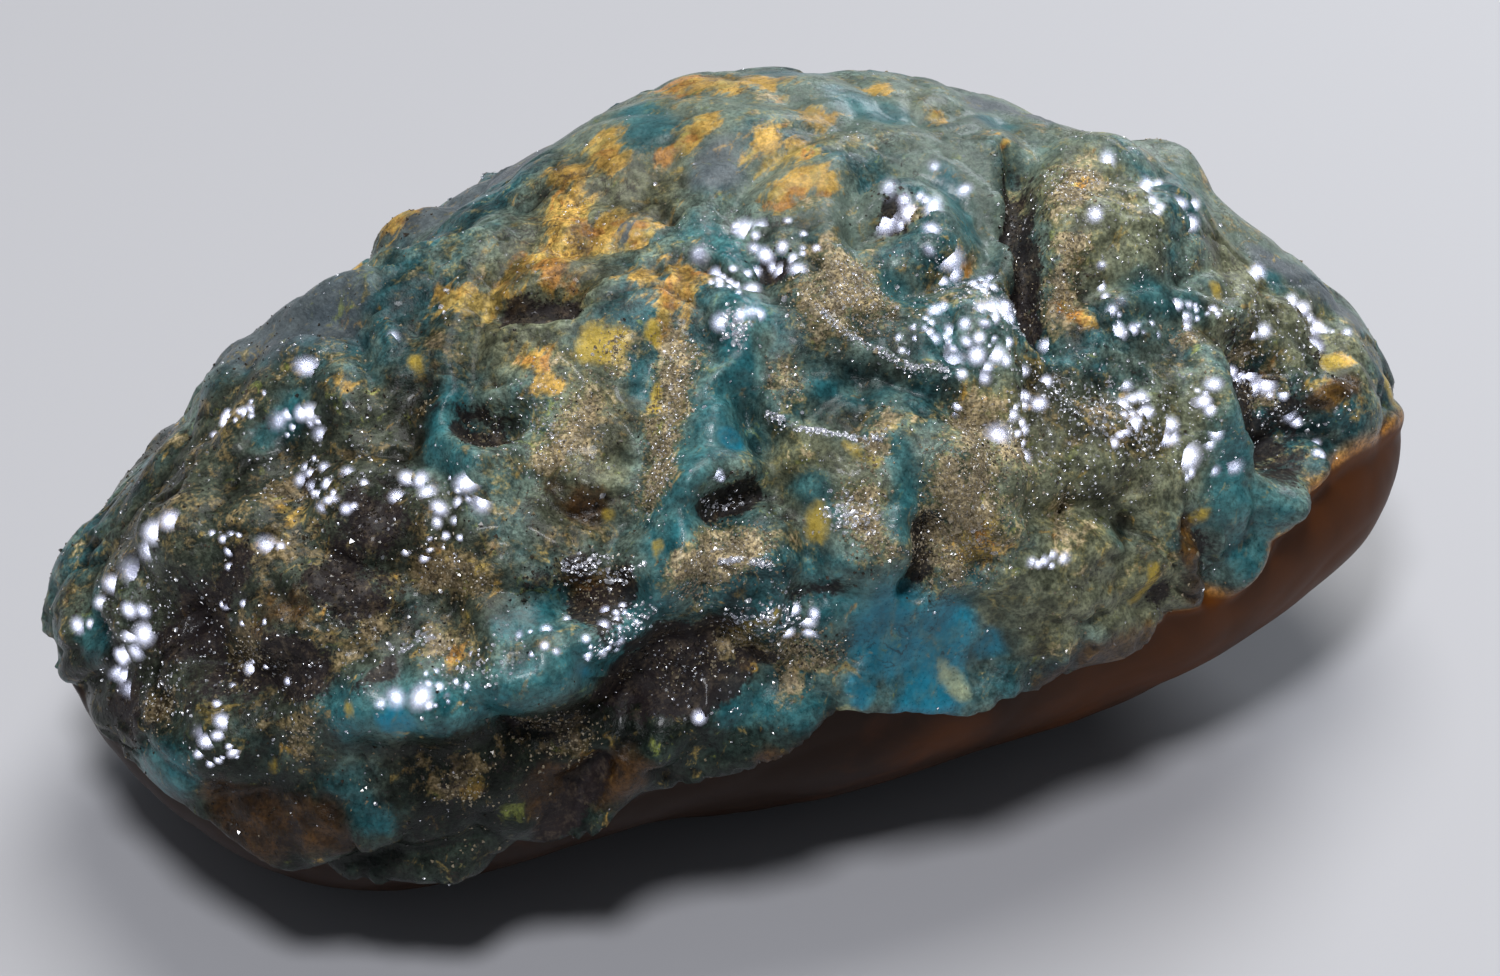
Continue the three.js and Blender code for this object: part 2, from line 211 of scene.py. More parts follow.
# Coloured patches, as paths of (along, turn) places and their reach. Each list feeds one vertex
# attribute, whose edge the material breaks up with noise.
STAINS = {
    "bloom": [
        ([(-3, 338), (6, 344), (14, 342)], 5.0), ([(10, 356), (10, 10)], 3.2), ([(20, 345)], 4.0),
        ([(24, 352)], 4.0), ([(2, 3), (5, 12)], 2.6), ([(4, 300)], 6.0),
    ],
    # Painted sheen: a lilac-grey reflection laid on as colour over parts of the crown, the left end
    # and the back.
    "painted_sheen": [
        ([(-21, 340), (-17.5, 356)], 3.0), ([(-12, 322), (-6, 324)], 3.0), ([(-0.5, 358)], 1.6),
        ([(-4.4, 6)], 0.9), ([(13, 338), (18, 342)], 1.2), ([(24, 6), (28, 8)], 1.2),
        ([(-24, 300)], 3.0),
    ],
    "khaki": [
        ([(9.6, 344)], 1.6), ([(5, 356)], 1.4), ([(16.4, 350)], 1.6),
        ([(-2, 344), (-6, 0), (-10, 14)], 4.0), ([(2, 2)], 2.0),
        ([(9, 52), (12, 62), (10, 72)], 4.0), ([(14, 60), (16, 54)], 3.6), ([(9.4, 80)], 2.6),
        ([(15, 4), (15.6, 20)], 2.8), ([(19.8, 75)], 1.0), ([(23.4, 36)], 1.2),
        ([(22, 18), (26, 30)], 3.0), ([(-8, 30), (-9, 44)], 2.2), ([(0.2, 48), (1.2, 56)], 2.0),
        ([(13, 78), (15, 88)], 2.4), ([(-14, 290)], 6.0), ([(16, 285)], 5.5), ([(19, 32)], 2.0),
    ],
    # Dark grey-brown film of the left end, partly painted shade that darkens the left end.
    "umber_and_shade": [
        ([(-20, 32), (-24, 46)], 7.0), ([(-29, 30), (-28, 74)], 5.0), ([(-13, 316)], 2.0),
        ([(-22, 8), (-27, 14)], 4.5), ([(10.6, 44), (14.6, 50)], 1.6),
        ([(-16, 44), (-14, 54)], 3.0), ([(-20, 62)], 5.0), ([(-16, 24)], 3.0), ([(-10, 46)], 2.0),
        ([(-7.6, 36)], 1.6), ([(-25, 290)], 6.0), ([(-10, 77), (-4, 78)], 3.0), ([(-9, 56)], 1.6),
        ([(-16, 84), (-12, 84)], 3.0),
    ],
    # Painted shade: near-black laid low on the crust, along the ledge and at the left tip.
    "painted_low_shade": [
        ([(-28, 90), (-18, 100), (-8, 96), (-1, 98)], 4.0), ([(-30, 60), (-30, 110)], 3.0),
        ([(-15, 78), (-9, 88)], 2.2), ([(-14, 266), (2, 262), (14, 266)], 5.0),
    ],
    "amber": [
        ([(-23.6, 93), (-20.6, 94)], 1.7), ([(-24.6, 46)], 1.5), ([(-21, 50)], 1.4),
        ([(-12, 94), (-8, 95)], 1.2), ([(12, 93), (15, 97)], 1.6), ([(16.4, 72), (16.4, 86)], 0.8),
        ([(-9.6, 92), (-12.2, 101)], 0.7), ([(-10, 42), (-8.6, 46)], 0.9), ([(10, 96)], 1.4),
        ([(-2, 95), (2, 96)], 1.0), ([(25.6, 44), (24.6, 52)], 0.9), ([(-9.6, 58)], 1.0),
        ([(20, 262)], 2.4),
    ],
    # Painted glow of light through thin amber, on the underside near the ledge and at the right
    # end.
    "glow": [([(14, 112), (22, 100), (28, 84)], 5.0), ([(6, 110)], 2.4), ([(24, 262)], 5.0)],
    "flaw": [
        ([(5.4, 85), (6.0, 91)], 0.55), ([(0.9, 88), (3.5, 95), (6.2, 99)], 0.6),
        ([(7.2, 80)], 0.35), ([(2.0, 90), (3.4, 92)], 0.45), ([(4.2, 80)], 0.3),
        ([(1.6, 72)], 0.3), ([(-5, 296)], 0.6),
    ],
    "ochre": [
        ([(0.1, 336), (3, 338)], 1.6), ([(-4.5, 346), (-4.2, 350)], 1.0), ([(-6.2, 350)], 1.1),
        ([(-6.8, 356), (-7.4, 2), (-8.2, 10)], 1.3), ([(-6, 5), (-5.2, 3)], 1.1),
        ([(-4.2, 10), (-3.4, 4)], 0.6), ([(-3, 18), (-4, 22)], 1.2), ([(-4.6, 16)], 0.8),
        ([(2, 357), (3, 358)], 1.2), ([(2, 7), (3.4, 6)], 0.9), ([(-0.6, 350), (-1.6, 353)], 0.8),
        ([(-9.4, 6), (-10.4, 9)], 1.2), ([(-12, 8), (-13, 5)], 0.9), ([(4.8, 350)], 1.2),
        ([(7.8, 341)], 0.8), ([(10.2, 349)], 0.6), ([(12.6, 354)], 0.6), ([(-13, 316)], 1.5),
        ([(-9.2, 25), (-10.2, 22)], 0.7), ([(-17.4, 16)], 0.5), ([(-12.9, 53)], 0.5),
        ([(12.9, 28), (13.2, 32)], 0.5), ([(15.2, 31)], 0.5), ([(15, 6)], 0.5),
        ([(24.6, 46), (25.2, 51)], 0.7), ([(26, 34)], 0.6), ([(14.4, 102)], 0.9),
        ([(-15, 63)], 0.35), ([(-9.8, 91)], 0.6), ([(-14.4, 90)], 0.5), ([(7.4, 44)], 0.4),
        ([(6.4, 63)], 0.9), ([(-20.4, 33)], 0.5), ([(-21.6, 76)], 0.35), ([(-2.6, 80)], 0.5),
        ([(16.4, 73), (16.5, 78)], 0.5), ([(9.6, 20)], 0.4), ([(-15, 290), (-10, 296)], 2.0),
        ([(4, 285)], 1.6), ([(18, 268)], 1.8), ([(-24, 300)], 1.3),
    ],
    "yellow": [
        ([(-7.5, 24), (-6.6, 25)], 0.72), ([(-4.9, 25)], 0.47), ([(20, 24)], 0.54),
        ([(10.8, 22), (11, 26)], 0.41), ([(0.1, 60), (0.5, 58)], 0.61),
        ([(-3.4, 71), (-2.2, 70)], 0.61), ([(14.2, 78), (13.6, 92)], 0.47), ([(17.2, 69)], 0.54),
        ([(18.4, 95)], 0.47), ([(25.6, 33)], 0.74), ([(29.4, 44)], 1.08), ([(-14.6, 15)], 0.54),
        ([(-18.6, 69)], 0.54), ([(-22.2, 79)], 0.61), ([(-8, 48)], 0.41), ([(-6.4, 56)], 0.41),
        ([(10.6, 33)], 0.61), ([(-5.4, 34), (-5.2, 31)], 0.47), ([(1.6, 48), (2.2, 52)], 0.54),
        ([(-24.4, 46)], 0.68), ([(-4.6, 84)], 0.54), ([(12.2, 100)], 0.54), ([(12.4, 60)], 0.41),
        ([(-14.4, 58)], 0.54), ([(-2, 312)], 1.08), ([(11, 296)], 0.94), ([(-18, 276)], 0.81),
    ],
    "sand": [
        ([(2.4, 25), (4.2, 25)], 1.6), ([(0.1, 36)], 1.0),
        ([(3.6, 42), (3.2, 46), (2.3, 51)], 0.7), ([(5.8, 57), (5.6, 62)], 2.0),
        ([(8.2, 52), (7.2, 49)], 1.3), ([(-3.9, 28), (-5.1, 39), (-6.1, 48)], 0.9),
        ([(-8.2, 30), (-9.4, 37)], 1.1), ([(-5.4, 60), (-3.6, 58), (-2.6, 58)], 1.0),
        ([(1.6, 58), (1.9, 64)], 0.9), ([(-3.8, 76), (-3, 73)], 0.9), ([(-6.4, 79)], 0.8),
        ([(-4.4, 78)], 0.8), ([(-1.2, 83), (-1.5, 87)], 0.6), ([(-1.2, 76), (0.2, 77)], 0.9),
        ([(-12.4, 82), (-11, 86)], 1.1), ([(-19, 84)], 0.8), ([(-14.8, 89)], 1.0),
        ([(-15.6, 52), (-13.6, 53)], 0.8), ([(-9.6, 59), (-8.6, 57)], 0.7),
        ([(15, 3), (14.4, 10)], 1.0), ([(13.8, 20), (13, 28)], 0.8), ([(15.4, 30)], 0.6),
        ([(22.6, 50), (22, 46)], 0.9), ([(21.4, 33)], 0.7), ([(17.6, 36)], 0.6),
        ([(-22.4, 56), (-23.8, 60)], 0.9), ([(-20.6, 27)], 0.6), ([(-26.6, 66)], 0.8),
        ([(-21, 74)], 0.7), ([(-6.6, 26)], 0.6), ([(6.8, 13)], 0.5), ([(-14.4, 22)], 0.6),
        ([(10.6, 62)], 0.8), ([(-12.4, 26)], 0.6), ([(-18.2, 57)], 0.5),
        ([(-16, 61), (-14.6, 61)], 0.5), ([(-8.6, 77)], 0.5), ([(-6.2, 74)], 0.45),
        ([(-5, 79)], 0.5), ([(-12, 272), (-2, 268)], 2.2), ([(15, 292)], 2.4),
        ([(-22, 288), (-18, 300)], 2.2), ([(22, 320), (25, 300)], 2.0), ([(2, 300)], 1.8),
    ],
    "teal": [
        ([(-19, 70), (-17, 69), (-13.4, 73), (-10.8, 71), (-8.6, 68), (-6.8, 62)], 1.3),
        ([(-0.9, 25), (-1.8, 33), (-3.8, 43), (-5.6, 50)], 1.2), ([(3.3, 48), (3.1, 61)], 0.8),
        ([(18.4, 57), (18.2, 66), (20, 76), (19.4, 82)], 1.6),
        ([(-13.4, 24), (-14.2, 30), (-13.4, 35)], 1.0), ([(1.7, 37), (3.9, 40)], 1.0),
        ([(-6.4, 56), (-4.8, 52)], 0.8), ([(0.8, 70), (2.6, 72)], 1.2),
        ([(-3.8, 85), (-1, 87)], 1.1), ([(9.4, 2), (9.4, 14)], 1.2), ([(6.4, 344), (8, 349)], 1.3),
        ([(13, 346)], 1.1), ([(16.6, 28), (18.6, 28)], 1.1), ([(20.6, 350)], 1.0),
        ([(5.8, 24), (6.2, 30)], 0.9), ([(-19.4, 83), (-18.2, 90)], 1.1),
        ([(-0.4, 64), (0.8, 66)], 0.8), ([(21.4, 60), (23.4, 56)], 1.0),
        ([(-11, 60), (-12.6, 62)], 0.8), ([(0, 52), (0.8, 58)], 0.7), ([(13, 70)], 0.7),
        ([(-29, 20), (-29.6, 34)], 1.3), ([(-5.8, 30)], 0.6), ([(24, 14)], 1.0),
        ([(-3, 340), (-2.4, 348)], 1.4), ([(-1.6, 10), (-0.6, 14)], 1.0),
        ([(-21, 12), (-19.6, 14)], 0.9), ([(-15.6, 68)], 0.8), ([(-9, 16)], 0.6),
        ([(-26, 80), (-27, 90)], 1.4), ([(-19, 292), (-11, 280), (-2, 287), (6, 276)], 1.6),
        ([(-26, 320)], 2.0), ([(5, 332)], 1.4), ([(19, 285)], 2.0),
    ],
    "blue": [
        ([(2.6, 77), (5.4, 80), (4.6, 89)], 2.0), ([(1.4, 84)], 1.0), ([(-17, 71)], 0.9),
        ([(-10, 71)], 0.6), ([(-5, 297)], 1.8), ([(7.4, 84)], 0.9), ([(-3, 43)], 0.6),
    ],
    # Black-brown patches in pits, clefts and dark gravel, partly painted shade inside the pits and
    # clefts.
    "soot_and_shade": [
        ([(21.2, 44), (20.8, 52), (22.4, 60)], 1.1), ([(23.6, 54)], 1.0), ([(22.4, 44)], 0.7),
        ([(-8, 76), (-5.4, 76)], 1.1), ([(-1.8, 78), (0.4, 75)], 0.5),
        ([(12.8, 2), (12.2, 12), (11.4, 30)], 0.6), ([(-10.4, 15), (-8.2, 16)], 0.9),
        ([(-12.9, 28), (-11.7, 30), (-12.5, 31)], 0.6), ([(-4.2, 52), (-2.2, 50)], 0.6),
        ([(4.3, 62), (3.9, 69)], 0.65), ([(-9.4, 61), (-8.2, 59)], 0.9),
        ([(-19, 46), (-18, 52)], 1.3), ([(-21, 60)], 1.2), ([(6.2, 12)], 0.9), ([(0.8, 17)], 0.7),
        ([(-17.4, 42)], 1.4), ([(9.5, 26)], 0.5), ([(-28, 70)], 1.2), ([(14.8, 85)], 0.5),
        ([(-14.2, 23), (-13, 24)], 0.4), ([(-24, 42), (-22.4, 38)], 1.1),
        ([(-11.4, 56), (-9.8, 54)], 0.6), ([(1.4, 67), (0.2, 66)], 0.6),
        ([(-17.6, 64), (-18.4, 66)], 0.5), ([(24.6, 32), (25, 40)], 0.5), ([(20.2, 36)], 0.6),
        ([(-6, 68), (-7.6, 72)], 0.4), ([(7.6, 55)], 0.6), ([(-6, 303)], 1.4), ([(20, 300)], 1.2),
        ([(9, 296)], 0.8), ([(-13, 265)], 1.4), ([(26, 22)], 0.5), ([(-13, 80)], 0.7),
        ([(15.4, 14)], 0.5), ([(14.4, 24)], 0.5), ([(16.8, 22)], 0.4), ([(-19.6, 28)], 0.8),
        ([(-26, 50)], 0.9), ([(20.6, 30)], 0.6),
    ],
    "wet": [
        ([(8.6, 30), (9, 36)], 2.0), ([(7.9, 18)], 1.4), ([(0, 13), (-1, 11)], 1.5),
        ([(14, 44), (16, 50)], 1.8), ([(17.3, 59)], 1.3), ([(22.3, 44)], 1.8),
        ([(17.5, 353)], 1.8), ([(-3, 71), (-0.8, 71)], 1.2), ([(-28, 22), (-27, 34)], 2.2),
        ([(-25, 75)], 1.3), ([(-19, 5)], 1.4), ([(-14.6, 38)], 1.5), ([(-27, 62)], 1.4),
        ([(24.5, 12)], 1.3),
    ],
}

# Every vertex attribute of the skin: the stains, the crust itself, how proud its fine relief
# stands, which the material turns into painted shade in hollows and painted light on tops, and its
# pits, whose depth it turns into painted shade.
MARKS = (*STAINS, "crust", "proud", "pit")

# Wet drops that lie in rows and heaps: a path of (along, turn) places, how far they stray from it,
# how many there are and how wide a typical one is.
DROPS = {
    "left chain": ([(-24.4, 24), (-26, 26), (-28.4, 26)], 0.25, 52, 0.81),
    "left chain beads": ([(-29.8, 22), (-29.8, 31)], 0.3, 5, 0.65),
    "left row": ([(-27, 37), (-27.6, 45), (-28.8, 54), (-27.8, 66)], 0.35, 23, 0.68),
    "heel heap": ([(-24.6, 70), (-24.3, 72), (-23.8, 70)], 0.25, 25, 0.73),
    "heel crumbs": ([(-23.8, 75)], 0.4, 14, 0.3),
    "upper left heap": ([(-19.2, 5), (-18.6, 10)], 0.2, 16, 0.78),
    "upper left bead": ([(-18, 10)], 0.1, 3, 0.81),
    "upper left row": ([(-20.1, 13), (-19.4, 16), (-18, 22)], 0.3, 16, 0.6),
    "upper left crumbs": ([(-22.4, 6), (-20.7, 10)], 0.4, 16, 0.34),
    "shoulder crumbs": ([(-20, 24), (-18.3, 36)], 0.4, 22, 0.41),
    "brow bead": ([(-15.1, 10)], 0.1, 3, 0.6),
    "crater heap": ([(-15.9, 36), (-14.8, 36)], 0.3, 18, 0.73),
    "crater beads": ([(-14.3, 40), (-13.1, 40), (-13.5, 43)], 0.25, 16, 0.65),
    "crater crumbs": ([(-14.1, 35), (-14.3, 46), (-16, 46)], 0.5, 18, 0.31),
    "dark left beads": ([(-21.4, 38)], 0.12, 4, 0.75),
    "dark left crumbs": ([(-22.7, 31), (-22.9, 64)], 0.8, 18, 0.34),
    "ridge sheen": ([(-17.6, 68.4), (-15.8, 69)], 0.05, 5, 0.85),
    "ridge glints": ([(-17.6, 68.4), (-16, 69)], 0.12, 60, 0.42),
    "ridge crumbs": ([(-15.6, 68), (-14.5, 68)], 0.4, 18, 0.28),
    "ridge crest": ([(-11.9, 65), (-9.3, 68), (-7.5, 64)], 0.5, 29, 0.34),
    "gravel heap": ([(-2, 73), (-1, 70), (-0.7, 74)], 0.3, 29, 0.55),
    "gravel bead": ([(-5.5, 85)], 0.06, 2, 0.68),
    "crown bead": ([(-2.3, 14)], 0.06, 2, 0.81),
    "crown chain": ([(-0.1, 10), (0.2, 14), (0.8, 18)], 0.3, 31, 0.6),
    "crown beads": ([(1.7, 13), (2, 16), (1.4, 18)], 0.3, 16, 0.44),
    "crown crumbs": ([(-1.8, 20), (-0.7, 20)], 0.4, 18, 0.37),
    "swelling beads": ([(-3.1, 26), (-0.8, 27)], 0.1, 4, 0.55),
    "slot beads": ([(-3.3, 49), (-3.8, 48)], 0.1, 4, 0.41),
    "upper chain": ([(8.6, 0), (9.6, 3), (9.9, 6)], 0.25, 16, 0.7),
    "upper pair": ([(6.6, 10), (7.5, 14)], 0.3, 23, 0.7),
    "small knob heap": ([(7.5, 19), (7.6, 21), (8.5, 20)], 0.3, 54, 0.78),
    "between knobs": ([(9.2, 23), (8.9, 28)], 0.3, 18, 0.44),
    "wet knob left": ([(7.2, 30), (7, 33), (7.2, 38)], 0.25, 47, 0.6),
    "wet knob right": ([(8.8, 30), (9.6, 34)], 0.3, 52, 0.65),
    "wet knob foot": ([(7.2, 39), (8, 40), (9.2, 39)], 0.25, 34, 0.65),
    "wet knob middle": ([(8.2, 34), (8.3, 37)], 0.35, 29, 0.44),
    "centre beads": ([(6.7, 28), (6.2, 32), (4.9, 34)], 0.3, 18, 0.34),
    "crevice bead": ([(11.8, 34)], 0.06, 2, 0.73),
    "crevice foot": ([(11.5, 40), (9, 46), (9.3, 52)], 0.35, 23, 0.52),
    "boss bead": ([(6.7, 44)], 0.08, 2, 0.52),
    "lobe top": ([(16.2, 0), (16.7, 2)], 0.2, 16, 0.65),
    "lobe beads": ([(17.8, 5), (17.3, 14), (19.6, 10)], 0.3, 16, 0.55),
    "lobe bright bead": ([(14.5, 16)], 0.05, 2, 0.86),
    "lobe row": ([(14.4, 22), (15, 34), (16.4, 35)], 0.3, 18, 0.41),
    "right upper row": ([(22.8, 12), (23, 16)], 0.2, 18, 0.7),
    "right tip": ([(24.6, 22), (25.4, 26), (25.4, 32)], 0.25, 23, 0.65),
    "right tip beads": ([(27, 28), (26.6, 16)], 0.15, 6, 0.6),
    "right middle": ([(22.5, 28), (21.9, 32)], 0.2, 16, 0.62),
    "right row": ([(18.1, 30), (19.4, 30)], 0.25, 18, 0.41),
    "cavity left": ([(17.5, 46), (17.6, 50)], 0.15, 16, 0.65),
    "cavity top": ([(21.3, 39), (22, 38)], 0.2, 7, 0.57),
    "cavity right": ([(22.8, 42), (23, 45), (23.3, 48)], 0.25, 23, 0.6),
    "cavity foot": ([(23.8, 52)], 0.15, 6, 0.73),
    "tip crumbs": ([(24.9, 59), (23.3, 66)], 0.3, 6, 0.37),
    "band": ([(14.6, 43), (14.8, 47), (13.8, 52)], 0.35, 52, 0.59),
    "band right": ([(16.1, 50), (15.7, 54)], 0.2, 18, 0.68),
    "skirt heap": ([(16.9, 57)], 0.2, 16, 0.94),
    "skirt beads": ([(16.5, 61), (17.5, 60)], 0.15, 16, 0.65),
    "skirt right": ([(17.6, 55), (18, 62), (18.6, 62)], 0.2, 18, 0.62),
    "boss foot": ([(8.7, 70), (10, 70)], 0.12, 14, 0.57),
    "back left": ([(-14, 300), (-4, 290)], 2.5, 65, 0.34),
    "back right": ([(8, 300), (18, 290)], 2.5, 65, 0.34),
    "back end": ([(-24, 310), (-20, 290)], 2.0, 43, 0.36),
    "back tip": ([(22, 310)], 1.6, 22, 0.36),
}

# Tiny bright plates that lie along edges and over dusty patches, in the same form.
SPARKS = {
    "thin ridge": ([(-1.2, 40), (0.1, 44), (1.4, 46), (2.9, 48)], 0.08, 420, 0.1),
    "upper thin ridge": ([(1.7, 28), (3.5, 34), (5, 38), (6.8, 40)], 0.1, 300, 0.1),
    "swelling top": ([(-1.8, 26), (-1.7, 30)], 0.3, 130, 0.14),
    "low thin ridge": ([(-4.3, 60), (-3.4, 60), (-2.2, 62)], 0.07, 140, 0.12),
    "slot edge": ([(-4.6, 51), (-2.8, 51)], 0.15, 60, 0.13),
    "left dust": ([(-10.3, 56), (-8.8, 56)], 0.25, 110, 0.13),
    "left line": ([(-8.8, 59), (-7.4, 58)], 0.2, 60, 0.14),
    "gravel dust": ([(-4.1, 69), (-1.5, 70)], 0.35, 150, 0.13),
    "tooth foot": ([(0.4, 56), (2.2, 58)], 0.4, 180, 0.13),
    "right dust": ([(10.6, 43), (13.1, 47), (15.1, 55)], 0.9, 560, 0.1),
    "boss dust": ([(8.2, 49), (10.6, 56), (12.9, 62)], 1.1, 260, 0.08),
    "centre sand": ([(2.9, 24), (4.5, 28)], 0.9, 260, 0.08),
    "sandy strip": ([(-3.6, 28), (-5.4, 38), (-6.1, 48)], 0.35, 200, 0.08),
    "knob dust": ([(7.1, 24), (9.6, 28)], 0.8, 200, 0.09),
    "left sand": ([(-10.1, 28), (-9.8, 40)], 1.1, 280, 0.075),
    "trough line": ([(-17.2, 62), (-15.7, 61)], 0.2, 60, 0.14),
    "ridge top": ([(-15.9, 68), (-12.4, 66)], 0.5, 120, 0.11),
    "ridge end": ([(-9.3, 68), (-7.2, 64)], 0.4, 120, 0.12),
    "cavity": ([(21.5, 36), (24.1, 54)], 1.0, 240, 0.1),
    "gravel": ([(-7.8, 74), (-3.8, 83)], 1.0, 130, 0.08),
    "lobe": ([(14, 4), (16, 20)], 1.6, 300, 0.09),
    "left end": ([(-27, 36), (-25, 62)], 1.8, 200, 0.1),
    "left middle": ([(-20, 20), (-17, 40)], 1.6, 200, 0.09),
    "left low": ([(-22, 70), (-18, 58)], 1.4, 160, 0.09),
    "right end": ([(19, 30), (25, 26)], 1.4, 220, 0.09),
    "back": ([(-16, 290), (0, 286), (16, 286)], 3.0, 500, 0.14),
}

# Small things. The spreads are of the logarithms of their widths, and the lengths are shares of a
# thing's own width: how deep grains lie, how far their corners reach, and how far those are pushed.
SAND_SEED, GRIT_SEED, DROP_SEED, SPECK_SEED = 7, 8, 21, 22
WIDTH_SPREAD = 0.3
SPECK_SPREAD = 0.45
GRAIN_SINK = (-0.35, 0.05)
GRAIN_REACH = (0.35, 0.62)
GRAIN_PUSH = 0.12
# Least cosine between the axis of a drop or speck and the skin's normal.
FLATTEST = 0.3
# Least distance between two drops, in shares of the sum of their widths.
DROP_GAP = 0.23
# A drop's rings as (radius, height, how much of its gloss shows), the heights of its tips, its lift
# off the skin, and how much it may be stretched. Then the same for a speck, which has one ring.
DROP_PROFILE = [(0.14, 0.0475, 1), (0.24, 0.046, 0.45), (0.37, 0.045, 0.12), (0.5, 0.044, 0),
                (0.42, -0.2, 0)]
DROP_TOP, DROP_BOTTOM = 0.048, -0.25
DROP_SEGMENTS = 10
DROP_LIFT = 0.06
DROP_STRETCH = (0.85, 1.18)
SPECK_RING = (0.5, 0.0)
SPECK_TOP, SPECK_BOTTOM = 0.03, -0.45
SPECK_SEGMENTS = 6
SPECK_LIFT = 0.15
SPECK_STRETCH = (0.75, 1.3)


def unit(vectors):
    """The same vectors, each with a length of 1."""
    return vectors / np.linalg.norm(vectors, axis=-1, keepdims=True)


def fullness_at(along):
    """How full the egg is at a distance along it: 1 in the middle and 0 at the tips."""
    return np.sqrt(np.clip(1 - (np.asarray(along, float) / HALF_LENGTH) ** 2, 0, 1))


def place(along, turn):
    """Points on the plain egg: an ellipse round an arched centre line, slimmer to the right."""
    t = np.clip(np.asarray(along, float) / HALF_LENGTH, -1, 1)
    angle = np.radians(turn)
    fullness = fullness_at(along) * (1 - RIGHT_TAPER * np.maximum(t, 0) ** 2)
    y = 0.3 + 1.2 * t - 2.4 * t * t - HALF_WIDTH * fullness * np.sin(angle)
    z = AXIS_HEIGHT + 1.3 + 1.1 * t - 2.5 * t * t + HALF_HEIGHT * fullness * np.cos(angle)
    return np.stack(np.broadcast_arrays(along, y, z), -1).astype(float)


def outward(points):
    """Unit normals of the ellipsoid with the nugget's half sizes, at each point."""
    middle = np.array((0, 0, AXIS_HEIGHT))
    return unit((points - middle) / np.array((HALF_LENGTH, HALF_WIDTH, HALF_HEIGHT)) ** 2)


def ripple(points, size, seed):
    """Sum of sine waves in evenly spread directions, of slightly unlike wavelengths near size.
    The seed turns the set of directions and shifts the waves. It is mostly between -1 and 1."""
    total = 0
    for k in range(WAVES):
        rise = 1 - (2 * k + 1) / WAVES
        level = math.sqrt(1 - rise * rise)
        spin = GOLDEN_ANGLE * k + seed
        heading = np.array((level * math.cos(spin), level * math.sin(spin), rise))
        wavelength = size * (0.75 + 0.5 * k / WAVES)
        total = total + np.sin(2 * math.pi * (points @ heading) / wavelength + (k + 2) * (k + seed))
    return total / math.sqrt(WAVES)


def swollen(points, size, height, seed):
    """A ripple of that height."""
    return height * ripple(points, size, seed)


def creased(points, size, height, seed):
    """Rounded lumps that meet in creases: the size of a sine of a ripple, less its average."""
    return height * (np.abs(np.sin(CREASE_RATE * ripple(points, size, seed))) - MEAN_CREASE)


def scatter(cells, seed):
    """One number from 0 to 1 for each whole-numbered cell: its three numbers and the seed are each
    multiplied by a large prime and mixed, then shifted onto themselves and multiplied twice."""
    c = cells.astype(np.int64)
    mixed = c[..., 0] * 73856093 ^ c[..., 1] * 19349663 ^ c[..., 2] * 83492791 ^ (seed * 2654435761)
    word, half, factor = np.uint64(0xFFFFFFFF), np.uint64(16), np.uint64(0x45D9F3B)
    mixed = mixed.astype(np.uint64) & word
    for _ in range(2):
        mixed = ((mixed ^ (mixed >> half)) * factor) & word
    return (mixed ^ (mixed >> half)).astype(float) / 0xFFFFFFFF


def grit(points, size, seed):
    """Value noise from 0 to 1: random numbers at the corners of cubes of that size, blended with
    smoothed weights."""
    scaled = points / size
    low = np.floor(scaled)
    part = scaled - low
    part = part * part * (3 - 2 * part)
    total = 0
    for corner in np.ndindex(2, 2, 2):
        weight = np.prod(np.where(corner, part, 1 - part), axis=-1)
        total = total + weight * scatter(low + corner, seed)
    return total


def rough(points, size, octaves, seed):
    """Value noise of that size with finer octaves, each half as large and half as strong. It runs
    from -1 to 1."""
    total = sum(0.5 ** k * (2 * grit(points, size * 0.5 ** k, seed + k) - 1)
                for k in range(octaves))
    return total / (2 - 0.5 ** (octaves - 1))


def shaken(points, size, reach, seed):
    """The same points moved by up to that reach, each coordinate by a rough noise of its own, so
    that whatever is measured from them gets a ragged outline."""
    layers = [rough(points, size, 3, seed + 3 * axis) for axis in range(3)]
    return points + reach * np.stack(layers, -1)


def pebbles(points, size, seed):
    """Domes round scattered centres: each cube of that size holds one centre, and a point's height
    is 1 at the nearest centre and falls with the square of its distance to 0 at a cube's size."""
    scaled = points / size
    low = np.floor(scaled)
    nearest = np.full(points.shape[:-1], 9.0)
    for offset in np.ndindex(3, 3, 3):
        cell = low + offset - 1
        centre = cell + np.stack([scatter(cell, seed + k) for k in range(3)], -1)
        nearest = np.minimum(nearest, np.sum((scaled - centre) ** 2, axis=-1))
    return np.clip(1 - nearest, 0, 1)


def mound(points, path, reach, edge):
    """Strength of a stroke at each point: 1 on its path, falling as exp(-(distance/reach)^edge)."""
    corners = place(*np.array(path, float).T)
    distance = np.linalg.norm(points - corners[0], axis=-1)
    for start, end in zip(corners[:-1], corners[1:]):
        run = end - start
        share = np.clip((points - start) @ run / (run @ run), 0, 1)
        gap = np.linalg.norm(points - start - share[..., None] * run, axis=-1)
        distance = np.minimum(distance, gap)
    return np.exp(-((distance / reach) ** edge))


def strokes(points, table):
    """Sum of a table's strokes at each point."""
    return sum(height * mound(points, path, reach, edge)
               for path, reach, height, edge in table.values())


def smooth_step(value, low, high):
    """0 below low, 1 above high, and a smooth cubic between."""
    t = np.clip((value - low) / (high - low), 0, 1)
    return t * t * (3 - 2 * t)


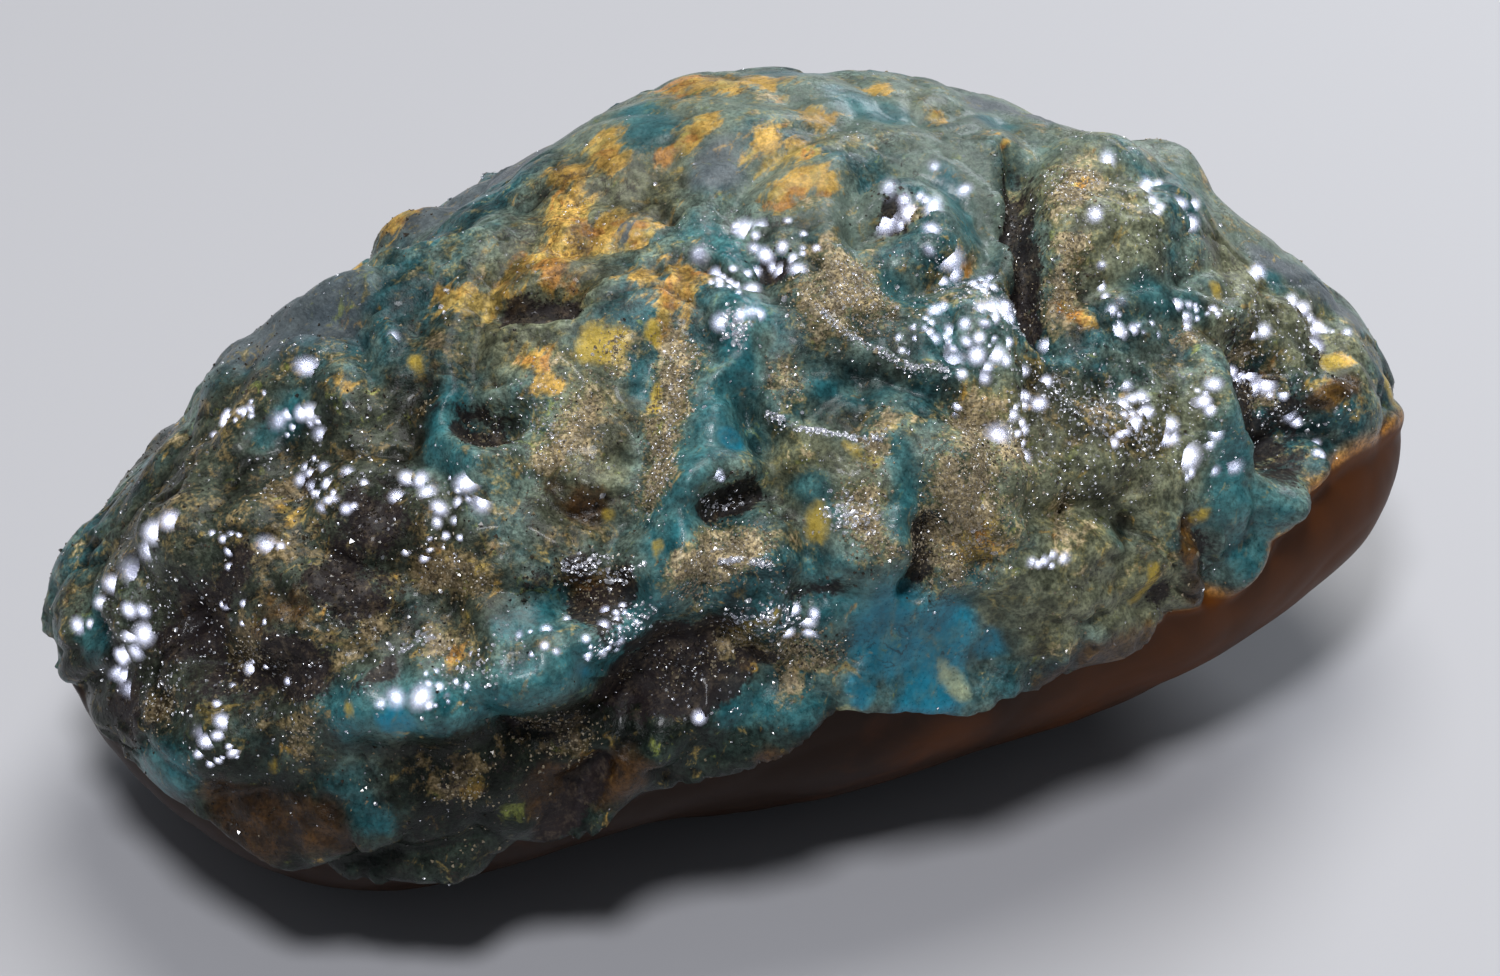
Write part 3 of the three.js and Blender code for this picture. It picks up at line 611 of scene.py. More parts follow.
def crust_margin(along, turn):
    """Distance above the crust's lower edge, along the skin. Below zero is under it."""
    girth = HALF_WIDTH * fullness_at(along)
    front = np.interp(along, *FRONT_LEDGE.T) - turn
    back = turn - np.interp(along, *BACK_LEDGE.T)
    return girth * np.radians(np.where(turn < 180, front, back))


def rest_on_floor(height):
    """Heights rounded off into a flat face at 0: 0 below -blend, and a parabola up to +blend."""
    bend = (height + FLOOR_BLEND) ** 2 / (4 * FLOOR_BLEND)
    return np.where(height <= -FLOOR_BLEND, 0, np.where(height < FLOOR_BLEND, bend, height))


def crust_share(along, turn, base):
    """1 on the crust, 0 under it, and a smooth drop between across the ragged ledge."""
    margin = crust_margin(along, turn) + LEDGE_STRAY * rough(base, *LEDGE_NOISE)
    reach = LEDGE_REACH + LEDGE_GROWTH * smooth_step(along, *LEDGE_GROWS)
    return smooth_step(margin, -reach, reach)


def stain_marks(ragged):
    """Each stain's strength at points that were shaken: that of its strongest patch there."""
    return {name: np.maximum.reduce([mound(ragged, path, reach, STAIN_EDGE)
                                     for path, reach in patches])
            for name, patches in STAINS.items()}


def fine_relief(base, ragged, sand):
    """Relief of the crust that is finer than the strokes: rough noise, terraces where another noise
    steps up at zero, narrow cracks where a third passes zero, and domes, mostly in the sand."""
    terraces = smooth_step(rough(ragged, *TERRACES), *TERRACE_RISE)
    cracks = np.exp(-((rough(ragged, *CRACKS) / CRACK_WIDTH) ** 2))
    domes = pebbles(ragged, PEBBLE_SIZE, SAND_DOMES)
    return (0.26 * rough(base, *RASP) + 0.26 * terraces - 0.3 * cracks
            + 0.12 * (0.2 + sand) * domes)


def skin(along, turn, detail):
    """The nugget's skin over a grid of (along, turn): the egg, pushed out along its normals by the
    broad swellings, the crust's ledge, creased lumps, strokes, fine relief and domes in the dark
    patches, whose strengths follow the crust and the stains. Returns the points and the vertex
    attributes."""
    base = place(along, turn)
    warp = np.stack([ripple(base, WARP_SIZE, seed) for seed in WARP_SEEDS], -1)
    bent = base + WARP_REACH * warp
    crust = crust_share(along, turn, base)
    share = UNDERSIDE_SHARE + (1 - UNDERSIDE_SHARE) * crust
    ragged = shaken(base, *RAGGED)
    marks = stain_marks(ragged)
    cut = strokes(shaken(base, *BITTEN), DEEP_STROKES)
    forms = strokes(base, RELIEF_STROKES)
    whole = math.prod(1 - worn * mound(base, path, width, edge)
                      for path, width, worn, edge in WORN.values())
    lumps = whole * (creased(bent, *LUMPS) + creased(bent, *KNOBS))
    thickness = CRUST_THICKNESS * np.minimum(1, fullness_at(along) / THINNING)
    height = thickness * (crust - 0.5) + swollen(bent, *SWELL)
    height = height + strokes(base, BODY_STROKES)
    height = height + share * (lumps + forms + cut)
    smooth = np.maximum(0.6 * marks["teal"], 0.9 * marks["blue"])
    relief = fine_relief(base, ragged, marks["sand"])
    sooty_domes = 0.14 * pebbles(ragged, PEBBLE_SIZE, SOOT_DOMES)
    height = height + detail * crust * (1 - smooth) * whole * relief
    height = height + detail * crust * marks["soot_and_shade"] * sooty_domes
    points = base + outward(base) * height[..., None]
    points[..., 2] = rest_on_floor(points[..., 2])
    marks["crust"] = crust
    # How proud the relief stands, which the material turns into painted shade in hollows and
    # painted light on tops.
    marks["proud"] = np.clip(0.35 + relief + 0.3 * forms, 0, 1)
    # Depth of the pits, which the material turns into painted shade.
    marks["pit"] = np.clip(-cut * share, 0, 1)
    return points + SLIDE, marks


def even_alongs(count):
    """Distances along the axis, so that rings lie at even steps over the skin from tip to tip."""
    t = np.cos(np.linspace(math.pi, 0, GUIDE_POINTS))
    guide = place(HALF_LENGTH * t, np.full(t.shape, GUIDE_TURN))
    steps = np.linalg.norm(np.diff(guide, axis=0), axis=1)
    travelled = np.concatenate(([0], np.cumsum(steps)))
    wanted = np.linspace(0, travelled[-1], count + 2)[1:-1]
    return HALF_LENGTH * np.interp(wanted, travelled, t)


def crowded_turns(count):
    """Angles round the axis that lie closer together on the crust than on the underside."""
    even = np.linspace(0, 2 * math.pi, count, endpoint=False)
    return np.degrees(even - CROWDING * np.sin(even)) % 360


# ---------------------------------------------------------------------------------------------
# Meshes from arrays
# ---------------------------------------------------------------------------------------------

def new_mesh(name, points, faces, smooth):
    """An object whose mesh holds these points, in metres, and faces of equal length."""
    mesh = bpy.data.meshes.new(name)
    sides = faces.shape[1]
    mesh.vertices.add(len(points))
    mesh.vertices.foreach_set("co", points.astype(np.float32).ravel())
    mesh.loops.add(faces.size)
    mesh.loops.foreach_set("vertex_index", faces.astype(np.int32).ravel())
    mesh.polygons.add(len(faces))
    mesh.polygons.foreach_set("loop_start", np.arange(0, faces.size, sides, dtype=np.int32))
    mesh.polygons.foreach_set("use_smooth", np.full(len(faces), smooth))
    mesh.update(calc_edges=True)
    if mesh.validate():
        raise RuntimeError(name + " has faces that Blender had to mend")
    made = bpy.data.objects.new(name, mesh)
    bpy.context.collection.objects.link(made)
    return made


def add_attribute(target, name, values):
    """A vertex attribute of one number a vertex, for the material to read."""
    layer = target.data.attributes.new(name, "FLOAT", "POINT")
    layer.data.foreach_set("value", values.astype(np.float32))


def egg_faces(rings, columns):
    """Triangles of a closed grid: rings of columns joined round, and a fan at each tip. Vertices
    count ring by ring, then the left tip and the right tip."""
    ring = np.arange(rings - 1)[:, None] * columns
    here = np.arange(columns)[None, :]
    after = (here + 1) % columns
    a, b = ring + here, ring + after
    c, d = b + columns, a + columns
    walls = np.stack([a, b, c, a, c, d], -1).reshape(-1, 3)
    left = np.full(columns, rings * columns)
    last = (rings - 1) * columns
    left_fan = np.stack([left, after[0], here[0]], -1)
    right_fan = np.stack([left + 1, last + here[0], last + after[0]], -1)
    return np.concatenate([walls, left_fan, right_fan])


def nugget_arrays(rings, columns, detail):
    """The nugget's points, faces and attributes, centred over the origin as the solid is."""
    along, turn = np.meshgrid(even_alongs(rings), crowded_turns(columns), indexing="ij")
    along = np.concatenate([along.ravel(), (-HALF_LENGTH, HALF_LENGTH)])
    turn = np.concatenate([turn.ravel(), (GUIDE_TURN, GUIDE_TURN)])
    points, marks = skin(along, turn, detail)
    return points, egg_faces(rings, columns), marks


def drawn_spots(points, faces, weight, count, random):
    """Random spots, and the normals there, on faces drawn by area times weight."""
    corners = points[faces]
    across = np.cross(corners[:, 1] - corners[:, 0], corners[:, 2] - corners[:, 0])
    area = np.linalg.norm(across, axis=1)
    chance = area * weight[faces].mean(1)
    chosen = random.choice(len(faces), count, p=chance / chance.sum())
    mix = random.dirichlet((1, 1, 1), count)
    return (corners[chosen] * mix[..., None]).sum(1), across[chosen] / area[chosen, None]


def repeated(triangles, corners, count):
    """A solid's triangles for each of its copies, whose points follow each other."""
    return (triangles[None] + corners * np.arange(count)[:, None, None]).reshape(-1, 3)


def grain_arrays(points, faces, weight, count, size, seed):
    """Grains: octahedra with pushed corners, turned at random and sunk to about half their size in
    the skin, on faces drawn by area times weight. Each has one tone from 0 to 1."""
    random = np.random.default_rng(seed)
    spots, normals = drawn_spots(points, faces, weight, count, random)
    scale = size * np.exp(random.normal(0, WIDTH_SPREAD, count))
    spots = spots + normals * (scale * random.uniform(*GRAIN_SINK, count))[:, None]
    tips = np.array([(1, 0, 0), (-1, 0, 0), (0, 1, 0), (0, -1, 0), (0, 0, 1), (0, 0, -1)], float)
    shape = tips[None] * random.uniform(*GRAIN_REACH, (count, len(tips), 1))
    shape = shape + random.uniform(-GRAIN_PUSH, GRAIN_PUSH, (count, len(tips), 3))
    spin = np.linalg.qr(random.normal(size=(count, 3, 3)))[0]
    spin *= np.sign(np.linalg.det(spin))[:, None, None]
    grains = spots[:, None] + scale[:, None, None] * np.einsum("nij,nkj->nki", spin, shape)
    sides = np.array([(0, 2, 4), (2, 1, 4), (1, 3, 4), (3, 0, 4),
                      (2, 0, 5), (1, 2, 5), (3, 1, 5), (0, 3, 5)])
    tone = np.repeat(random.uniform(0, 1, count), len(tips))
    return grains.reshape(-1, 3), repeated(sides, len(tips), count), {"tone": tone}


def glint_axes(spots, normals, camera, lamp, jitter, random):
    """Three unit axes for each spot. The last is midway between the directions to the camera and
    to the lamp, or is the skin's normal where that line lies too flat on the skin. It is then moved
    a little at random."""
    lean = unit(unit(camera - spots) + unit(lamp - spots))
    flat = (lean * normals).sum(1, keepdims=True) < FLATTEST
    lean = np.where(flat, normals, lean)
    lean = unit(lean + random.normal(0, 1, lean.shape) * jitter)
    side = unit(np.cross(lean, random.normal(size=lean.shape)))
    return np.stack([side, np.cross(lean, side), lean], 1)


def turned_solid(profile, segments, top, bottom):
    """Points and triangles of one closed solid: a profile of (radius, height) from its top down,
    turned round Z. Points count ring by ring, then the tips at the top and the bottom."""
    spoke = 2 * math.pi * np.arange(segments) / segments
    profile = np.array(profile)
    ring = np.stack([np.cos(spoke), np.sin(spoke)], -1)
    flat = profile[:, None, :1] * ring[None]
    rise = np.broadcast_to(profile[:, None, 1:], (*flat.shape[:2], 1))
    points = np.concatenate([np.concatenate([flat, rise], -1).reshape(-1, 3),
                             [(0, 0, top), (0, 0, bottom)]])
    here = np.arange(segments)
    after = (here + 1) % segments
    rings = len(profile)
    steps = segments * np.arange(rings - 1)[:, None]
    a, b = steps + here, steps + after
    c, d = b + segments, a + segments
    walls = np.stack([a, d, c, a, c, b], -1).reshape(-1, 3)
    cap = np.stack([here, after, np.full(segments, rings * segments)], -1)
    last = (rings - 1) * segments
    base = np.stack([last + after, last + here, np.full(segments, rings * segments + 1)], -1)
    return points, np.concatenate([walls, cap, base])


def scattered_copies(points, triangles, spots, axes, width, stretch):
    """Copies of one solid, one at each spot: stretched, scaled to its width and laid on its
    axes."""
    shaped = np.broadcast_to(points, (len(spots), *points.shape)).copy()
    shaped[..., 0] *= stretch[:, None]
    shaped[..., 1] /= stretch[:, None]
    placed = spots[:, None] + width[:, None, None] * np.einsum("nkj,nji->nki", shaped, axes)
    return placed.reshape(-1, 3), repeated(triangles, len(points), len(spots))


def strewn(groups, scale, random):
    """Spots on the skin, the plain egg's normals there, and the widths of small things that lie
    along the paths of a table."""
    alongs, turns, widths = [], [], []
    for path, stray, count, width in groups.values():
        corners = np.array(path, float)
        stop = random.uniform(0, len(path) - 1, count)
        knots = np.arange(len(path))
        along = np.interp(stop, knots, corners[:, 0]) + random.normal(0, stray, count)
        unwound = np.degrees(np.unwrap(np.radians(corners[:, 1])))
        strays = np.degrees(random.normal(0, stray, count) / STRAY_RADIUS)
        alongs.append(np.clip(along, TIP_MARGIN - HALF_LENGTH, HALF_LENGTH - TIP_MARGIN))
        turns.append((np.interp(stop, knots, unwound) + strays) % 360)
        widths.append(scale * width * np.exp(random.normal(0, WIDTH_SPREAD, count)))
    along, turn, width = map(np.concatenate, (alongs, turns, widths))
    spots, _ = skin(along, turn, 1.0)
    return spots, outward(place(along, turn)), width


def drop_arrays(camera, lamp, jitter, scale, seed):
    """Drops: low domes turned from a profile, along the paths of DROPS, that lie square to the line
    midway between camera and lamp. A drop is left out if its middle is too close to an earlier one.
    Each has one tone from 0 to 1, and its `brim` is 1 on its top and 0 at its rim."""
    random = np.random.default_rng(seed)
    spots, normals, width = strewn(DROPS, scale, random)
    gaps = np.linalg.norm(spots[:, None] - spots[None], axis=-1)
    crowded = gaps < DROP_GAP * (width[:, None] + width[None])
    alone = ~np.tril(crowded, -1).any(1)
    spots, normals, width = spots[alone], normals[alone], width[alone]
    spots = spots + normals * (DROP_LIFT * width)[:, None]
    axes = glint_axes(spots, normals, camera, lamp, jitter, random)
    profile = np.array(DROP_PROFILE)
    points, triangles = turned_solid(profile[:, :2], DROP_SEGMENTS, DROP_TOP, DROP_BOTTOM)
    stretch = random.uniform(*DROP_STRETCH, len(width))
    drops, sides = scattered_copies(points, triangles, spots, axes, width, stretch)
    brim = np.append(np.repeat(profile[:, 2], DROP_SEGMENTS), (1, 0))
    tone = np.repeat(random.uniform(0, 1, len(width)), len(points))
    return drops, sides, {"tone": tone, "brim": np.tile(brim, len(width))}


def speck_arrays(points, faces, weight, count, size, camera, lamp, jitter, seed):
    """Bright specks: six-sided plates, along the paths of SPARKS and on faces drawn by area times
    weight, that lie roughly square to the line midway between camera and lamp. Each has one tone
    from 0 to 1."""
    random = np.random.default_rng(seed)
    free_spots, free_normals = drawn_spots(points, faces, weight, count, random)
    spark_spots, spark_normals, spark_width = strewn(SPARKS, 1.0, random)
    free_width = size * np.exp(random.normal(0, SPECK_SPREAD, count))
    width = np.concatenate([free_width, spark_width])
    spots = np.concatenate([free_spots, spark_spots])
    normals = np.concatenate([free_normals, spark_normals])
    spots = spots + normals * (SPECK_LIFT * width)[:, None]
    axes = glint_axes(spots, normals, camera, lamp, jitter, random)
    one = turned_solid([SPECK_RING], SPECK_SEGMENTS, SPECK_TOP, SPECK_BOTTOM)
    stretch = random.uniform(*SPECK_STRETCH, len(width))
    plates, sides = scattered_copies(*one, spots, axes, width, stretch)
    tone = np.repeat(random.uniform(0, 1, len(width)), len(one[0]))
    return plates, sides, {"tone": tone}


# ---------------------------------------------------------------------------------------------
# Shader maths
# ---------------------------------------------------------------------------------------------

class Wire:
    """A socket that can be used in Python sums: each operator adds a Math node."""

    def __init__(self, shader, socket):
        self.shader = shader
        self.socket = socket

    def math(self, operation, first, second):
        return self.shader.node("ShaderNodeMath", {"operation": operation}, {0: first, 1: second})

    def __add__(self, other):
        return self.math("ADD", self, other)

    def __sub__(self, other):
        return self.math("SUBTRACT", self, other)

    def __rsub__(self, other):
        return self.math("SUBTRACT", other, self)

    def __mul__(self, other):
        return self.math("MULTIPLY", self, other)

    __radd__ = __add__
    __rmul__ = __mul__

    def above(self, low, high):
        """0 at low and below, 1 at high and above."""
        settings = {"interpolation_type": "SMOOTHSTEP"}
        values = {"Value": self, "From Min": low, "From Max": high}
        return self.shader.node("ShaderNodeMapRange", settings, values)

    def most(self, other):
        """The larger of two values."""
        return self.math("MAXIMUM", self, other)


class Shader:
    """A material's node tree and the nodes that its expressions add."""

    def __init__(self, name):
        self.material = bpy.data.materials.new(name)
        self.material.use_nodes = True
        self.tree = self.material.node_tree
        self.tree.nodes.clear()

    def node(self, kind, settings=None, values=None, output=0):
        """Adds a node: its settings first, then its sockets' values or links. A colour is three
        numbers, and its alpha is 1. Returns one output."""
        made = self.tree.nodes.new(kind)
        for key, setting in (settings or {}).items():
            setattr(made, key, setting)
        for key, value in (values or {}).items():
            socket = made.inputs[key]
            if isinstance(value, Wire):
                self.tree.links.new(value.socket, socket)
            else:
                socket.default_value = (*value, 1.0) if socket.type == "RGBA" else value
        return Wire(self, made.outputs[output])

    def place(self):
        """Each point's own place, in metres."""
        return self.node("ShaderNodeTexCoord", output="Object")

    def attribute(self, name):
        """A vertex attribute's number."""
        return self.node("ShaderNodeAttribute", {"attribute_name": name}, output="Fac")

    def shifted(self, where, shift):
        """The same place moved by metres, so that two noises differ."""
        return self.node("ShaderNodeMapping", None, {"Vector": where, "Location": shift})

    def stretched(self, where, turn, share):
        """Place turned about Z by degrees, then shortened along X, so that noise has streaks."""
        values = {"Vector": where, "Rotation": (0, 0, -math.radians(turn)), "Scale": (share, 1, 1)}
        return self.node("ShaderNodeMapping", {"vector_type": "TEXTURE"}, values)

    def noise(self, where, size, detail, roughness=0.55, distortion=0.0):
        """Noise with features of that size in millimetres."""
        values = {"Vector": where, "Scale": 1 / (size * MM), "Detail": detail,
                  "Roughness": roughness, "Distortion": distortion}
        return self.node("ShaderNodeTexNoise", None, values, "Fac")

    def cell_tones(self, where, size):
        """Cells of that size in millimetres, each with a random tone from 0 to 1."""
        values = {"Vector": where, "Scale": 1 / (size * MM)}
        return self.node("ShaderNodeTexVoronoi", None, values, "Color")

    def blend(self, factor, first, second, mode="MIX"):
        """The first colour, with the second laid over it by the factor's share."""
        settings = {"data_type": "RGBA", "blend_type": mode, "clamp_factor": True}
        return self.node("ShaderNodeMix", settings, {0: factor, 6: first, 7: second}, 2)

    def bump(self, height, distance, normal=None):
        """Bump of a height from 0 to 1 that stands for that many millimetres."""
        values = {"Height": height, "Distance": distance * MM}
        if normal is not None:
            values["Normal"] = normal
        return self.node("ShaderNodeBump", None, values, "Normal")

    def principled(self, values):
        """A surface from its sockets' values."""
        return self.node("ShaderNodeBsdfPrincipled", None, values, "BSDF")

    def mix_surfaces(self, factor, first, second):
        """The first surface, with the second laid over it by the factor's share."""
        return self.node("ShaderNodeMixShader", None, {0: factor, 1: first, 2: second})

    def finish(self, **ends):
        """Joins the Surface, and any Volume, to the output."""
        made = self.tree.nodes.new("ShaderNodeOutputMaterial")
        for name, wire in ends.items():
            self.tree.links.new(wire.socket, made.inputs[name])
        return self.material


# Coloured films laid over the resin in this order: the stain, how strongly noise tears its edge,
# the strengths between which it fades in, and its share at full strength.
FILMS = (
    ("khaki", 0.7, 0.25, 0.9, 0.75),
    ("bloom", 0.9, 0.3, 0.9, 0.75),
    ("umber_and_shade", 0.8, 0.25, 0.85, 0.85),
    ("painted_low_shade", 0.5, 0.3, 0.7, 0.9),
    ("painted_sheen", 0.5, 0.3, 0.9, 0.8),
    ("teal", 0.9, 0.3, 1.0, 0.8),
)
# Index of refraction of resin and of quartz, and that of drops and specks.
RESIN_INDEX = 1.54
DROP_INDEX = 1.5


def nugget_noises(s, where):
    """The noises that colour the nugget, from broad to fine, and the edge that tears its stains."""
    n = SimpleNamespace()
    n.broad = s.noise(where, 6.0, 3.0, 0.6, 0.4)
    n.patchy = s.noise(where, 2.4, 6.0, 0.64, 0.5)
    n.other = s.noise(s.shifted(where, (0.5, 0.2, 0.1)), 1.5, 6.0, 0.62, 0.4)
    n.stray = s.noise(s.shifted(where, (0.1, 0.7, 0.3)), 1.3, 5.0, 0.65, 0.8)
    n.streaks = s.noise(s.stretched(where, 50, 0.34), 1.3, 4.0, 0.6, 0.5)
    n.mottle = s.noise(s.shifted(where, (0.3, 0.9, 0.6)), 1.0, 6.0, 0.66, 0.2)
    n.flecks = s.noise(s.shifted(where, (0.8, 0.4, 0.9)), 0.7, 4.0, 0.65, 1.2)
    n.fine = s.noise(where, 0.6, 5.0, 0.66, 0.2)
    n.speck = s.noise(where, 0.2, 3.0, 0.65)
    n.grain_tone = s.cell_tones(where, 0.16)
    n.edge = (n.patchy - 0.5) * 1.2 + (n.fine - 0.5) * 0.7
    return n


def torn(n, mark, ragged, low, high):
    """A stain's strength with its edge torn by noise, from 0 at low to 1 at high."""
    return (mark + n.edge * ragged).above(low, high)


def gel_colour(s, look, marks, n):
    """The resin's own colour: dark teal to grey-green, under the films, with the clear blue
    window, its streaks and its flaws."""
    teal, blue = marks["teal"], marks["blue"]
    hue = (n.broad + (n.other - 0.5) * 0.8).above(0.36, 0.64)
    gel = s.blend(hue, look.deep_teal, look.grey_green)
    for name, ragged, low, high, share in FILMS:
        gel = s.blend(torn(n, marks[name], ragged, low, high) * share, gel, getattr(look, name))
    light = (n.other + 0.3 * n.fine).above(0.56, 0.78) * teal
    gel = s.blend(light * 0.5, gel, look.pale_teal)
    gel = s.blend(torn(n, blue, 0.5, 0.35, 0.8), gel, look.blue)
    clouds = (n.broad + 0.4 * n.other).above(0.66, 0.82) * blue
    gel = s.blend(clouds * 0.45, gel, look.deep_teal)
    streaks = (n.streaks + 0.4 * n.fine).above(0.64, 0.84) * blue
    gel = s.blend(streaks * 0.6, gel, look.pale_teal)
    return s.blend(torn(n, marks["flaw"], 1.3, 0.25, 1.0) * 0.8, gel, look.inclusion)


def dust_level(marks, n):
    """How much dust and sand lies on the resin: noises of three sizes, more in the sand and less
    on teal, blue, the painted low shade and the painted sheen."""
    level = (n.patchy - 0.5) * 1.3 + (n.fine - 0.5) * 0.9 + (n.speck - 0.5) * 0.5 + 0.43
    level = level + marks["sand"] * 0.36 - marks["teal"] * 0.14 - marks["blue"] * 0.4
    return level - marks["painted_low_shade"] * 0.14 - marks["painted_sheen"] * 0.1


def matrix_colour(s, look, marks, n):
    """Sandy matrix: shaded by noise, with pale and dark grains, and earthy at the left end."""
    shade = n.fine * 0.7 + n.speck * 0.3 + n.other * 0.4
    matrix = s.blend(shade.above(0.48, 0.85), look.matrix_dark, look.matrix)
    matrix = s.blend(n.grain_tone.above(0.6, 0.95) * 0.5, matrix, look.pale_grain)
    matrix = s.blend(n.grain_tone.above(0.3, 0.1) * 0.5, matrix, look.matrix_dark)
    return s.blend(marks["umber_and_shade"] * 0.6, matrix, look.brown)


def film_colour(s, look, marks, n, level, sandy, resinous):
    """The gel with olive and earthy dust, matrix, iron stains, stray gold and green, bare amber,
    yellow patches and a painted glow at the ledge in rust colour, all shaded at random by noises,
    with painted shade in the hollows and painted light on the tops of the relief."""
    teal, crust = marks["teal"], marks["crust"]
    film = s.blend(level.above(0.5, 0.64) * 0.7, gel_colour(s, look, marks, n), look.olive)
    film = s.blend(level.above(0.46, 0.6) * marks["umber_and_shade"] * 0.7, film, look.brown)
    film = s.blend(sandy * 0.9, film, matrix_colour(s, look, marks, n))
    rust = (marks["ochre"] * 1.15 + (n.streaks - 0.5) * 2.8 + (n.fine - 0.5) * 0.8)
    stain = s.blend(n.other.above(0.42, 0.54), look.gold, look.ochre)
    stain = s.blend(n.patchy.above(0.54, 0.62) * 0.9, stain, look.rust)
    film = s.blend(rust.above(0.32, 0.9) * 0.9, film, stain)
    film = s.blend(n.stray.above(0.61, 0.71) * (1 - teal) * 0.6, film, look.gold)
    green = n.stray.above(0.38, 0.29) * (1 - 0.7 * teal)
    film = s.blend(green * 0.5, film, look.yellow_green)
    film = s.blend(resinous * 0.85, film, look.amber_film)
    film = s.blend(torn(n, marks["yellow"], 0.9, 0.4, 1.0) * 0.8, film, look.yellow)
    # Painted glow: light through thin amber along the ledge, laid on in rust colour.
    rim = crust * (1 - crust) * 4 * torn(n, marks["glow"], 0.5, 0.2, 0.7)
    film = s.blend(rim, film, look.rust)
    calm = (1 - 0.3 * teal) * (1 - 0.7 * marks["blue"]) * (1 - 0.5 * marks["bloom"])
    calm = calm * (1 - 0.6 * marks["painted_sheen"]) * (1 - 0.6 * marks["yellow"])
    shades = (
        (n.mottle.above(0.34, 0.68), (0.4, 0.4, 0.38), (1.55, 1.52, 1.45)),
        # Painted shade in the hollows and painted light on the tops of the fine relief.
        (marks["proud"].above(0.0, 0.7), (0.24, 0.21, 0.19), (1.3, 1.3, 1.25)),
        (n.speck.above(0.36, 0.64), (0.6, 0.6, 0.58), (1.35, 1.33, 1.3)),
    )
    for height, dim, bright in shades:
        film = s.blend(calm, film, s.blend(height, dim, bright), "MULTIPLY")
    return film


def soot_and_shade_share(marks, n, level):
    """Where the crust is black-brown: where little dust lies, in the black-brown patches, which are
    partly painted shade in pits and clefts, in pits by their depth as painted shade, along thin
    seams of painted contact shadow that partly read as cracks, and in flecks.
    """
    teal, blue, painted_sheen = marks["teal"], marks["blue"], marks["painted_sheen"]
    # Pits are blacker by their depth: painted shade in recesses.
    low = 0.64 - level + marks["soot_and_shade"] * 0.55 + marks["pit"] * 0.5 + (n.other - 0.5) * 0.8
    low = low + (n.fine - 0.5) * 0.9
    # Blacker where the left end is darkened, partly painted shade, and less black under the painted
    # sheen and the bloom.
    low = low + marks["umber_and_shade"] * 0.16 - painted_sheen * 0.3 - marks["bloom"] * 0.2
    dark_share = (low - 0.3 * teal - 0.9 * blue).above(0.55, 0.8)
    # Thin dark lines along noise contours: painted contact shadow between lumps, partly dark
    # cracks.
    shadow_and_crack_seam = (n.other - 0.53) * (n.other - 0.53) + (1 - n.broad.above(0.4, 0.6)) * 0.002
    dark_share = dark_share.most(shadow_and_crack_seam.above(0.0003, 0.0) * (1 - 0.8 * teal) * (1 - painted_sheen) * 0.7)
    flecked = n.flecks.above(0.65, 0.73) * (1 - 0.8 * teal) * (1 - blue) * (1 - painted_sheen)
    return dark_share.most(flecked * 0.9)


def underside_colour(s, look, marks, n):
    """Brown amber in clouds, with a painted glow where it is thin below the ledge."""
    cloud = (n.broad + (n.patchy - 0.5) * 0.6 + marks["glow"] * 0.3 - 0.1).above(0.4, 0.85)
    under = s.blend(cloud, look.amber_dark, look.amber_brown)
    painted_glow = marks["glow"] * (torn(n, marks["crust"], 0.15, 0.0, 0.25) * 0.6 + 0.4)
    return s.blend(painted_glow * 0.8, under, look.amber_glow)


